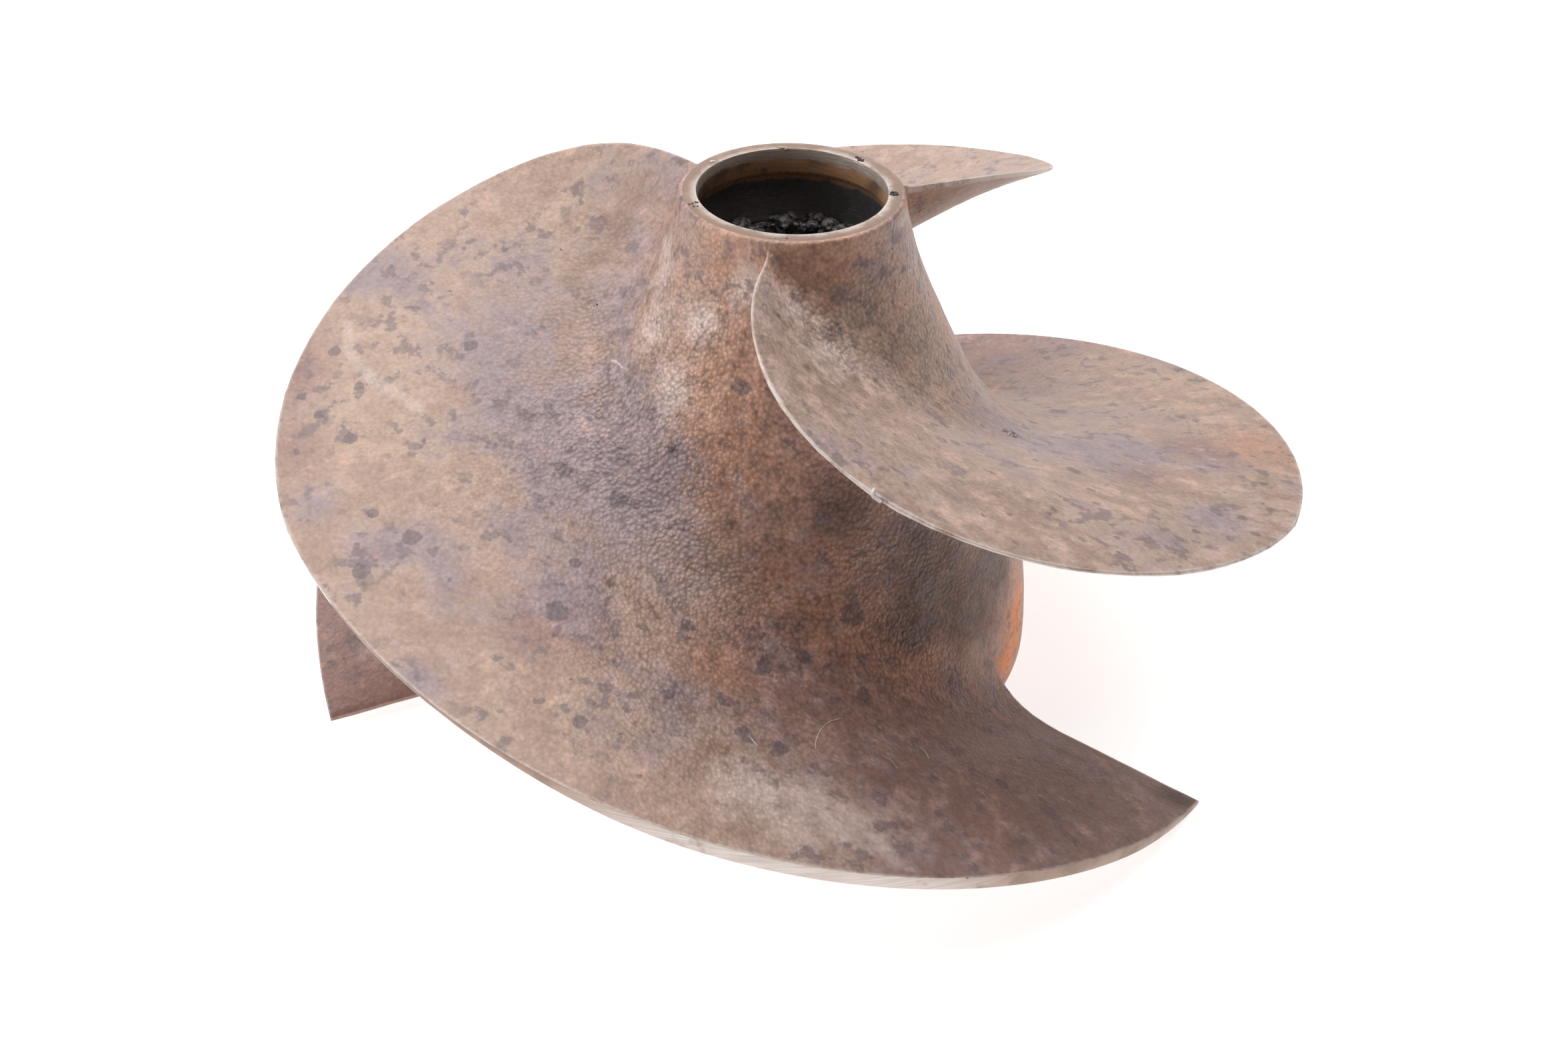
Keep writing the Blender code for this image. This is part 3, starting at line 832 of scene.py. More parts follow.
@dataclass
class ImpellerCasting:
    """Hub and blades as one casting."""

    hub: HubForm
    blade: BladeForm
    finishes: dict
    first_angle: float = math.radians(139.1)
    count: int = 3
    swell: float = 0.22 * MM
    swell_size: float = 15.0 * MM
    ripple: float = 0.06 * MM
    ripple_size: float = 3.5 * MM
    merge: float = 1e-6
    sharp: float = math.radians(38)
    # where the mould's swells stop short of turned faces, and over what run they fade
    tip_gap: float = 0.3 * MM
    rim_gap: float = 0.5 * MM
    rim_reach: float = 18.0 * MM
    bore_gap: float = 0.2 * MM
    seat_gap: float = 0.5 * MM
    seat_height: float = 10.0 * MM
    fade: float = 4.0 * MM
    floor_fade: float = 2.0 * MM
    # how near a face lies to a turned surface to count as one
    land_near: float = 0.08 * MM
    land_facing: float = 0.7
    rim_near: float = 0.12 * MM
    rim_beyond: float = 0.6 * MM
    seat_near: tuple = (0.1 * MM, 0.05 * MM)
    rear_near: float = 0.02 * MM
    bore_near: float = 0.1 * MM

    def build(self) -> Any:
        """Makes the casting and lays it over its solid."""
        casting = add_object("cast_impeller", self.hub.mesh("cast_impeller"))
        blades = add_object("blades", self.blade.mesh("blades"))
        values = {"First Angle": self.first_angle, "Count": self.count, "Material": self.finishes[Skin.CAST]}
        apply_tree(blades, self.blade.rule.tree(), values)
        weld(blades.data, self.merge)
        join = casting.modifiers.new("blades", "BOOLEAN")
        join.operation, join.solver, join.object = "UNION", "MANIFOLD", blades
        bake_modifiers(casting)
        bpy.data.objects.remove(blades)
        weld(casting.data, self.merge)
        self.roughen(casting.data)
        roots = tuple(self.first_angle + k * FULL_TURN / self.count for k in range(self.count))
        PatinaMap(self.hub, self.blade, roots).paint(casting.data)
        self.dress(casting)
        return casting

    def roughen(self, mesh: Any) -> None:
        """Gives cast faces the swells and ripples of a sand mould, and leaves turned faces true."""
        hub, points = self.hub, points_of(mesh)
        normals = np.empty(points.size)
        mesh.vertices.foreach_get("normal", normals)
        radius, z = np.hypot(points[:, 0], points[:, 1]), points[:, 2]
        free = ease((hub.tip_radius - radius - self.tip_gap) / self.fade) * ease(z / self.floor_fade)
        by_rim = ease((hub.height - self.rim_gap - z) / self.fade)
        free = free * np.where(radius < self.rim_reach, by_rim, 1.0)
        seat = (radius < hub.rear_seat + self.seat_gap) & (z < self.seat_height)
        turned = (radius < hub.relief + self.bore_gap) | seat
        swell = np.array([noise.noise(Vector(p) / self.swell_size) for p in points])
        ripple = np.array([noise.noise(Vector(p) / self.ripple_size) for p in points])
        move = np.where(turned, 0.0, free) * (self.swell * swell + self.ripple * ripple)
        points = points + normals.reshape(-1, 3) * move[:, None]
        mesh.vertices.foreach_set("co", points.ravel())
        mesh.update()

    def dress(self, casting: Any) -> None:
        """Sets smooth shading with crisp edges, and each face's finish."""
        mesh = casting.data
        mesh.materials.clear()
        for skin in Skin:
            mesh.materials.append(self.finishes[skin])
        mesh.shade_smooth()
        mesh.set_sharp_from_angle(angle=self.sharp)
        count = len(mesh.polygons)
        centre, normal = np.empty(count * 3), np.empty(count * 3)
        mesh.polygons.foreach_get("center", centre)
        mesh.polygons.foreach_get("normal", normal)
        centre, normal = centre.reshape(-1, 3), normal.reshape(-1, 3)
        r, z = np.hypot(centre[:, 0], centre[:, 1]), centre[:, 2]
        out = (centre[:, :2] * normal[:, :2]).sum(1) / r
        hub = self.hub
        land = (r > hub.tip_radius - self.land_near) & (out > self.land_facing)
        rim = (z > hub.height - self.rim_near) & (r < hub.rim_flat + self.rim_beyond)
        seat = (r > hub.rear_seat - self.seat_near[0]) & (r < hub.rear_seat + self.seat_near[1])
        rear = (z < self.rear_near) | (seat & (z < hub.rear_seat_depth))
        bore = (r < hub.relief + self.bore_near) & (z > hub.boss_rear) & ~rim
        plain = np.where(bore, Skin.BORE.value, Skin.CAST.value)
        skins = np.where(land | rim | rear, Skin.MACHINED.value, plain)
        mesh.polygons.foreach_set("material_index", skins.astype(np.int32))
        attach(casting, BODY)
        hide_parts("impeller_casting")


@dataclass
class SplineSleeve:
    """Steel sleeve pressed in the nose bore, with a ring of spline teeth inside."""

    finish: Any
    outer: float = 13.2 * MM
    root: float = 12.0 * MM
    tip: float = 10.75 * MM
    bottom: float = 38.3 * MM
    top: float = 66.9 * MM
    edge: float = 0.25 * MM
    teeth: int = 22
    tooth_width: float = 1.75 * MM
    tooth_taper: float = 0.35
    tooth_sink: float = 0.6 * MM
    tooth_short: float = 0.5 * MM
    tooth_drop: float = 0.1 * MM
    merge: float = 1e-7
    turns: int = 176

    def ring(self) -> Any:
        """The sleeve's plain wall."""
        c = self.edge
        line = [(self.outer, self.bottom), (self.outer, self.top - c), (self.outer - c, self.top)]
        line += [(self.root + c, self.top), (self.root, self.top - c), (self.root, self.bottom)]
        return turned_mesh("spline_teeth", np.array(line), self.turns)

    def tree(self) -> Any:
        """Geometry Nodes that add tapered teeth round the inside of the ring."""
        takes: dict = {"Geometry": (GEOMETRY, None), "Count": (WHOLE, 22), "Depth": (FLOAT, 1 * MM)}
        takes |= {"Width": (FLOAT, 2 * MM), "Height": (FLOAT, 10 * MM), "Middle": (FLOAT, 50 * MM)}
        takes |= {"Radius": (FLOAT, 11 * MM), "Taper": (FLOAT, 0.3), "Material": (MATERIAL, None)}
        g, start, end = new_group("spline_ring", "GeometryNodeTree", takes, {"Geometry": GEOMETRY})
        given = start.outputs
        size = g.add("ShaderNodeCombineXYZ", {"X": given["Depth"], "Y": given["Width"], "Z": given["Height"]})
        tooth = g.add("GeometryNodeMeshCube", {"Size": size, "Vertices Z": 4})
        place = g.add("ShaderNodeSeparateXYZ", {"Vector": g.add("GeometryNodeInputPosition")}).outputs
        inner = g.math("LESS_THAN", place["X"], 0.0)
        squeeze = g.times(g.times(place["Y"], inner), g.times(given["Taper"], -1.0))
        squeeze = g.add("ShaderNodeCombineXYZ", {"Y": squeeze})
        tooth = g.add("GeometryNodeSetPosition", {"Geometry": tooth, "Offset": squeeze})
        points = g.add("GeometryNodePoints", {"Count": given["Count"]})
        turn = g.times(g.add("GeometryNodeInputIndex"), g.over(FULL_TURN, given["Count"]))
        x, y = g.math("COSINE", turn), g.math("SINE", turn)
        spot = {"X": g.times(x, given["Radius"]), "Y": g.times(y, given["Radius"])}
        spot = g.add("ShaderNodeCombineXYZ", spot | {"Z": given["Middle"]})
        points = g.add("GeometryNodeSetPosition", {"Geometry": points, "Position": spot})
        spin = g.add("ShaderNodeCombineXYZ", {"Z": turn})
        ring = g.add("GeometryNodeInstanceOnPoints", {"Points": points, "Instance": tooth, "Rotation": spin})
        both = g.add("GeometryNodeJoinGeometry", {"Geometry": ring})
        g.tree.links.new(given["Geometry"], both.inputs["Geometry"])
        return close_tree(g, start, end, both)

    def build(self) -> Any:
        """Makes the sleeve and lays it over its solid."""
        sleeve = add_object("splined_sleeve", self.ring())
        depth = self.root - self.tip + self.tooth_sink
        values = {"Count": self.teeth, "Depth": depth, "Width": self.tooth_width, "Taper": self.tooth_taper}
        values |= {"Radius": self.tip + depth / 2, "Height": self.top - self.bottom - self.tooth_short}
        values |= {"Middle": (self.top + self.bottom) / 2 - self.tooth_drop, "Material": self.finish}
        apply_tree(sleeve, self.tree(), values)
        weld(sleeve.data, self.merge)
        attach(sleeve, BODY)
        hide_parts("spline_sleeve")
        return sleeve


def crumb_tree() -> Any:
    """Geometry Nodes that scatter small lumps of mixed sizes over the faces they are given."""
    takes: dict = {"Geometry": (GEOMETRY, None), "Density": (FLOAT, 1.0e6), "Small": (FLOAT, 0.2 * MM)}
    takes |= {"Large": (FLOAT, 0.6 * MM), "Flatness": (FLOAT, 0.6), "Lumpiness": (FLOAT, 0.5)}
    takes |= {"Seed": (WHOLE, 3), "Material": (MATERIAL, None)}
    g, start, end = new_group("scattered_crumbs", "GeometryNodeTree", takes, {"Geometry": GEOMETRY})
    given = start.outputs
    inputs = {"Mesh": given["Geometry"], "Density": given["Density"], "Seed": given["Seed"]}
    points = g.add("GeometryNodeDistributePointsOnFaces", inputs)
    ball = g.add("GeometryNodeMeshIcoSphere", {"Radius": 1.0, "Subdivisions": 3})
    size = g.add("FunctionNodeRandomValue", {"Seed": given["Seed"]}, data_type="FLOAT")
    g.plug(size.inputs[2], given["Small"])
    g.plug(size.inputs[3], given["Large"])
    scale = g.add("ShaderNodeCombineXYZ", {"X": size.outputs[1], "Y": size.outputs[1]})
    g.plug(scale.inputs["Z"], g.times(size.outputs[1], given["Flatness"]))
    lumps = {"Points": points.outputs["Points"], "Rotation": points.outputs["Rotation"]}
    lumps |= {"Instance": ball, "Scale": scale}
    real = g.add("GeometryNodeRealizeInstances", {"Geometry": g.add("GeometryNodeInstanceOnPoints", lumps)})
    place = g.add("GeometryNodeInputPosition")
    reach = g.over(0.7, given["Large"])
    cloud = g.add("ShaderNodeTexNoise", {"Vector": place, "Scale": reach, "Detail": 2.0})
    move = g.times(g.minus(cloud.outputs["Fac"], 0.5), g.times(given["Lumpiness"], given["Large"]))
    push = g.scaled(g.add("GeometryNodeInputNormal"), move)
    moved = g.add("GeometryNodeSetPosition", {"Geometry": real, "Offset": push})
    return close_tree(g, start, end, g.add("GeometryNodeSetShadeSmooth", {"Geometry": moved}))


@dataclass
class BoreGrease:
    """Old grease in lumps on the ledge round the spline sleeve's mouth."""

    finish: Any
    crumbs: Any
    top: float = 66.9 * MM
    inner: float = 11.3 * MM
    outer: float = 14.3 * MM
    lift: float = 0.1 * MM
    # first and last angle of each sector, and about one step, in degrees
    sectors: tuple = ((20, 75), (80, 108), (118, 150), (165, 215), (300, 372))
    sector_step: int = 6

    def bed(self) -> Any:
        """Ring sectors that the lumps lie on: more at the back and right, where dirt has gathered."""
        points, faces = [], []
        for first, last in self.sectors:
            steps = max(2, (last - first) // self.sector_step)
            turn = np.radians(np.linspace(first, last, steps + 1))
            base = len(points)
            for a in turn:
                for r in (self.inner, self.outer):
                    points.append((r * math.cos(a), r * math.sin(a), self.top + self.lift))
            for first_corner in range(base, base + 2 * steps, 2):
                faces.append(tuple(first_corner + step for step in (0, 1, 3, 2)))
        return grid_mesh("bore_grease", np.array(points), np.array(faces))

    def build(self) -> Any:
        """Makes the grease."""
        grease = add_object("bore_grease", self.bed())
        values = {"Density": 0.4e6, "Small": 0.4 * MM, "Large": 1.7 * MM, "Flatness": 0.62, "Lumpiness": 0.9}
        apply_tree(grease, self.crumbs, values | {"Seed": 7, "Material": self.finish})
        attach(grease, BODY)
        return grease


class Stuff(Enum):
    """What a small loose thing on the casting is made of."""

    LINT = "lint"
    SOOT = "soot"
    CRUMB = "crumb"
    SCALE = "scale"


@dataclass(frozen=True)
class Cluster:
    """A few grains lying together; the place and reach are in millimetres."""

    name: str
    stuff: Stuff
    place: tuple
    reach: float
    grains: int
    size: float


@dataclass
class LooseDirt:
    """Lint, crumbs and clots that lie on the casting, and the small flaws that stand proud of it."""

    casting: Any
    finishes: dict
    crumbs: Any
    first_seed: int = 11
    least_grain: float = 0.4
    patch_corners: int = 12

    def __post_init__(self) -> None:
        """Builds the search tree that finds places on the casting."""
        work = bmesh.new()
        work.from_mesh(self.casting.data)
        self.near = BVHTree.FromBMesh(work)
        work.free()

    def clusters(self) -> list[Cluster]:
        """Grains where the casting has them."""
        return [
            Cluster("rim_clot_right", Stuff.SOOT, (14.2, -0.8, 78.3), 0.5, 12, 0.34),
            Cluster("rim_clot_back", Stuff.SOOT, (9.6, 10.0, 78.0), 0.9, 12, 0.36),
            Cluster("rim_crumb_back", Stuff.CRUMB, (-1.6, 13.6, 78.2), 0.8, 9, 0.3),
            Cluster("rim_speck_left", Stuff.LINT, (-11.6, 8.2, 78.3), 0.35, 3, 0.26),
            Cluster("rim_clot_left", Stuff.SOOT, (-13.3, -5.8, 78.2), 1.0, 8, 0.22),
            Cluster("rim_scale_front", Stuff.SCALE, (-1.4, -15.4, 77.9), 1.1, 14, 0.2),
            Cluster("blade_scab", Stuff.SCALE, (32.4, -15.9, 48.4), 1.7, 30, 0.26),
            Cluster("blade_scab_pits", Stuff.SOOT, (32.9, -16.6, 48.6), 1.3, 10, 0.14),
            Cluster("lint_front", Stuff.LINT, (12.8, -56.6, 22.7), 0.5, 4, 0.13),
            Cluster("crumb_front", Stuff.CRUMB, (26.4, -51.4, 16.2), 0.1, 1, 0.24),
            Cluster("crumb_trail", Stuff.CRUMB, (13.6, -61.8, 22.8), 0.9, 7, 0.14),
            Cluster("lint_right", Stuff.LINT, (22.1, -64.8, 20.0), 1.0, 3, 0.09),
            Cluster("lint_left", Stuff.LINT, (-60.2, -36.3, 48.9), 0.5, 4, 0.15),
            Cluster("lint_far_left", Stuff.LINT, (-61.5, -40.5, 48.3), 0.5, 3, 0.13),
        ]

    def threads(self) -> dict:
        """Lint threads and one burr: runs of points on the casting in millimetres, and a radius."""
        curl = [(4.8, -57.8, 26), (5.0, -56, 26), (5.6, -53.8, 25.5), (6.7, -52, 25), (8.3, -50.6, 24.4)]
        burr = [(10.3, -54.4, 66.9), (10.1, -55.3, 66.8), (10.2, -56.1, 66.5), (10.7, -56.6, 66.2)]
        return {
            "curled_thread": (curl, 0.05),
            "short_thread": ([(-3.9, -59.0, 29.6), (-3.4, -59.6, 29.4), (-2.8, -60.4, 29)], 0.07),
            "middle_thread": ([(19.6, -50.7, 19.2), (20.4, -51.6, 18.8), (20.6, -52.7, 18.7)], 0.05),
            "right_thread": ([(27.2, -56.2, 17), (28.0, -56.8, 16.7), (28.6, -57.6, 16.5)], 0.05),
            "fine_thread": ([(14.0, -55.0, 22), (15.2, -55.6, 21.5), (16.0, -56.8, 21.3)], 0.035),
            "edge_burr": (burr, 0.2),
        }

    def snap(self, place: tuple, lift: float = 0.0) -> Vector:
        """Nearest point on the casting to a place in millimetres."""
        spot, normal, _, _ = self.near.find_nearest(Vector(place) * MM)
        return spot + normal * lift

    def patch(self, item: Cluster) -> Any:
        """A small disc on the casting that a cluster is scattered over."""
        spot, normal, _, _ = self.near.find_nearest(Vector(item.place) * MM)
        side = normal.orthogonal().normalized()
        other = normal.cross(side)
        ring = [spot]
        count = self.patch_corners
        for k in range(count):
            turn = k * FULL_TURN / count
            away = (side * math.cos(turn) + other * math.sin(turn)) * item.reach * MM
            ring.append(self.near.find_nearest(spot + away)[0])
        faces = np.array([(0, 1 + k, 1 + (k + 1) % count) for k in range(count)])
        return grid_mesh(item.name, np.array(ring), faces)

    def thread_tree(self) -> Any:
        """Geometry Nodes that turn a run of edges into a thin closed tube."""
        takes: dict = {"Geometry": (GEOMETRY, None), "Material": (MATERIAL, None)}
        takes["Radius"] = (FLOAT, 0.05 * MM)
        g, start, end = new_group("thread", "GeometryNodeTree", takes, {"Geometry": GEOMETRY})
        curve = g.add("GeometryNodeMeshToCurve", {"Mesh": start.outputs["Geometry"]})
        curve = g.add("GeometryNodeCurveSplineType", {"Curve": curve}, spline_type="CATMULL_ROM")
        ring = g.add("GeometryNodeCurvePrimitiveCircle", {"Resolution": 6, "Radius": start.outputs["Radius"]})
        inputs = {"Curve": curve, "Profile Curve": ring.outputs[0], "Fill Caps": True}
        return close_tree(g, start, end, g.add("GeometryNodeCurveToMesh", inputs))

    def build(self) -> list:
        """Makes every piece of dirt."""
        made = []
        for number, item in enumerate(self.clusters()):
            obj = add_object(item.name, self.patch(item))
            area = math.pi * (item.reach * MM) ** 2
            values = {"Density": item.grains / area, "Seed": self.first_seed + number, "Flatness": 0.6}
            values |= {"Small": self.least_grain * item.size * MM, "Large": item.size * MM, "Lumpiness": 1.2}
            made.append(apply_tree(obj, self.crumbs, values | {"Material": self.finishes[item.stuff]}))
        tree = self.thread_tree()
        for name, (run, radius) in self.threads().items():
            mesh = bpy.data.meshes.new(name)
            places = [self.snap(p, radius * MM) for p in run]
            mesh.from_pydata(places, [(k, k + 1) for k in range(len(places) - 1)], [])
            obj = add_object(name, mesh)
            made.append(apply_tree(obj, tree, {"Radius": radius * MM, "Material": self.finishes[Stuff.LINT]}))
        for obj in made:
            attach(obj, BODY)
        return made


# Effects that several finishes share


class TextureGraph(Graph):
    """Graph with the textures that the finishes are made of; sizes are in metres."""

    def noise(
        self, where: Any, size: float, detail: float = 2.0, rough: float = 0.55, out: str = "Fac"
    ) -> Any:
        """Cloudy noise.

        Args:
            where: Coordinates.
            size: About how wide its blobs are.
            detail: How many finer layers it has.
            rough: How strong they are.
            out: Output to take.

        Returns:
            The output socket.
        """
        inputs = {"Vector": where, "Scale": 1.0 / size, "Detail": detail, "Roughness": rough}
        return self.add("ShaderNodeTexNoise", inputs).outputs[out]

    def read(self, name: str, out: str = "Color") -> Any:
        """Value of one of the piece's own attributes."""
        return self.add("ShaderNodeAttribute", attribute_name=name, attribute_type="GEOMETRY").outputs[out]

    def use(self, tree: Any, inputs: dict, out: int = 0) -> Any:
        """Output of a node group placed with its own values."""
        return self.add("ShaderNodeGroup", inputs, node_tree=tree).outputs[out]

    def object_place(self) -> Any:
        """The piece's own coordinates."""
        return self.add("ShaderNodeTexCoord").outputs["Object"]


def shader_group(name: str, takes: dict, gives: dict) -> tuple[TextureGraph, Any, Any]:
    """Makes a shader node group to build an effect in."""
    graph, start, end = new_group(name, "ShaderNodeTree", takes, gives)
    return TextureGraph(graph.tree), start.outputs, end.inputs


@dataclass
class Effects:
    """Node groups that the finishes place with their own values."""

    def __post_init__(self) -> None:
        """Builds every group once."""
        self.mottle = self.build_mottle()
        self.spots = self.build_spots()
        self.grain = self.build_grain()
        self.turning = self.build_turning()
        self.round_mark = self.build_round_mark()
        self.stroke_mark = self.build_stroke_mark()

    def build_mottle(self) -> Any:
        """Mask with a broken edge: a soft zone and a noise weighed together."""
        takes = {"Zone": (FLOAT, 0.5), "Noise": (FLOAT, 0.5), "Break": (FLOAT, 1.5)}
        takes["Softness"] = (FLOAT, 0.12)
        g, given, end = shader_group("mottled_mask", takes, {"Mask": FLOAT})
        shift = g.times(g.minus(given["Noise"], 0.5), given["Break"])
        level = g.plus(given["Zone"], shift)
        low, high = g.minus(0.5, given["Softness"]), g.plus(0.5, given["Softness"])
        inputs = {"Value": level, "From Min": low, "From Max": high}
        g.plug(end["Mask"], g.add("ShaderNodeMapRange", inputs, interpolation_type="SMOOTHSTEP").outputs[0])
        return g.tree

    def build_spots(self) -> Any:
        """Mask of scattered round spots of mixed sizes, one at most in each cell."""
        takes = {"Vector": (VECTOR, None), "Cell": (FLOAT, 5 * MM), "Share": (FLOAT, 0.5)}
        takes["Radius"] = (FLOAT, 0.25)
        g, given, end = shader_group("scattered_spots", takes, {"Mask": FLOAT})
        scale = g.over(1.0, given["Cell"])
        cells = g.add("ShaderNodeTexVoronoi", {"Vector": given["Vector"], "Scale": scale})
        chance = g.add("ShaderNodeSeparateColor", {"Color": cells.outputs["Color"]})
        present = g.math("LESS_THAN", chance.outputs[0], given["Share"])
        radius = g.times(given["Radius"], g.times_plus(chance.outputs[1], 1.2, 0.4))
        inner = g.times(radius, 0.55)
        inputs = {"Value": cells.outputs["Distance"], "From Min": radius, "From Max": inner}
        inside = g.add("ShaderNodeMapRange", inputs, interpolation_type="SMOOTHSTEP").outputs[0]
        g.plug(end["Mask"], g.times(inside, present))
        return g.tree

    def build_round_mark(self) -> Any:
        """Mask of one soft round mark at a place."""
        takes = {"Vector": (VECTOR, None), "Middle": (VECTOR, None), "Radius": (FLOAT, 1 * MM)}
        g, given, end = shader_group("round_mark", takes, {"Mask": FLOAT})
        gap = g.over(g.vector("DISTANCE", given["Vector"], given["Middle"]), given["Radius"])
        g.plug(end["Mask"], g.remap(gap, 1.3, 0.5))
        return g.tree

    def build_stroke_mark(self) -> Any:
        """Mask of one soft straight stroke between two places."""
        takes = {name: (VECTOR, None) for name in ("Vector", "Start", "End")}
        takes["Width"] = (FLOAT, 0.2 * MM)
        g, given, end = shader_group("stroke_mark", takes, {"Mask": FLOAT})
        along = g.vector("SUBTRACT", given["End"], given["Start"])
        away = g.vector("SUBTRACT", given["Vector"], given["Start"])
        square = g.vector("DOT_PRODUCT", along, along)
        share = g.over(g.vector("DOT_PRODUCT", away, along), square, clamp=True)
        gap = g.over(g.vector("DISTANCE", away, g.scaled(along, share)), given["Width"])
        g.plug(end["Mask"], g.remap(gap, 1.0, 0.2))
        return g.tree

    def build_grain(self) -> Any:
        """Sand grain of a casting: rounded grains under a finer noise, and a shade for its colour."""
        takes = {"Vector": (VECTOR, None), "Grain": (FLOAT, 0.6 * MM), "Pebble": (FLOAT, 1.6 * MM)}
        g, given, end = shader_group("cast_grain", takes, {"Height": FLOAT, "Shade": FLOAT})
        fine = {"Vector": given["Vector"], "Scale": g.over(1.0, given["Grain"]), "Detail": 2.0}
        wide = {"Vector": given["Vector"], "Scale": g.over(1.0, given["Pebble"]), "Detail": 1.0}
        small = g.add("ShaderNodeTexNoise", fine | {"Roughness": 0.6}).outputs["Fac"]
        large = g.add("ShaderNodeTexNoise", wide | {"Roughness": 0.5}).outputs["Fac"]
        cells = {"Vector": given["Vector"], "Scale": fine["Scale"], "Smoothness": 0.5}
        gap = g.add("ShaderNodeTexVoronoi", cells, feature="SMOOTH_F1").outputs["Distance"]
        dome = g.minus(1.0, gap)
        g.plug(end["Height"], g.plus(dome, g.times_plus(large, 0.6, g.times(small, 0.6))))
        shade = g.plus(g.times(dome, 0.5), g.times_plus(large, 0.5, g.times(small, 0.6)))
        g.plug(end["Shade"], g.minus(shade, 0.3))
        return g.tree

    def build_turning(self) -> Any:
        """Fine tool marks that run round the Z axis on flat and upright faces alike."""
        takes = {"Vector": (VECTOR, None), "Run": (FLOAT, 3.0), "Pitch": (FLOAT, 0.25 * MM)}
        g, given, end = shader_group("turning_marks", takes, {"Marks": FLOAT})
        parts = g.add("ShaderNodeSeparateXYZ", {"Vector": given["Vector"]}).outputs
        flat = g.add("ShaderNodeCombineXYZ", {"X": parts["X"], "Y": parts["Y"]})
        radius = g.vector("LENGTH", flat)
        way = g.add("ShaderNodeSeparateXYZ", {"Vector": g.vector("NORMALIZE", flat)}).outputs
        across = g.over(g.plus(radius, parts["Z"]), given["Pitch"])
        inputs = {"X": g.times(way["X"], given["Run"]), "Y": g.times(way["Y"], given["Run"])}
        where = g.add("ShaderNodeCombineXYZ", inputs | {"Z": across})
        marks = g.add("ShaderNodeTexNoise", {"Vector": where, "Scale": 1.0, "Detail": 2.0, "Roughness": 0.6})
        g.plug(end["Marks"], marks.outputs["Fac"])
        return g.tree


# Finishes


def new_finish(name: str, metallic: float) -> tuple[Any, TextureGraph, Any]:
    """Makes a material.

    Args:
        name: Name of the finish.
        metallic: How metallic it is all over.

    Returns:
        The material, its graph and its Principled shader.
    """
    made = bpy.data.materials.new(name)
    made.use_nodes = True
    shader = made.node_tree.nodes["Principled BSDF"]
    shader.inputs["Metallic"].default_value = metallic
    return made, TextureGraph(made.node_tree), shader


def bump(g: TextureGraph, shader: Any, height: Any, depth: float) -> None:
    """Lets a height move a shader's normal.

    Args:
        g: The material's graph.
        shader: The Principled shader.
        height: Height signal.
        depth: Metres for one unit of height.
    """
    node = g.add("ShaderNodeBump", {"Strength": 1.0, "Distance": depth, "Height": height})
    g.plug(shader.inputs["Normal"], node)


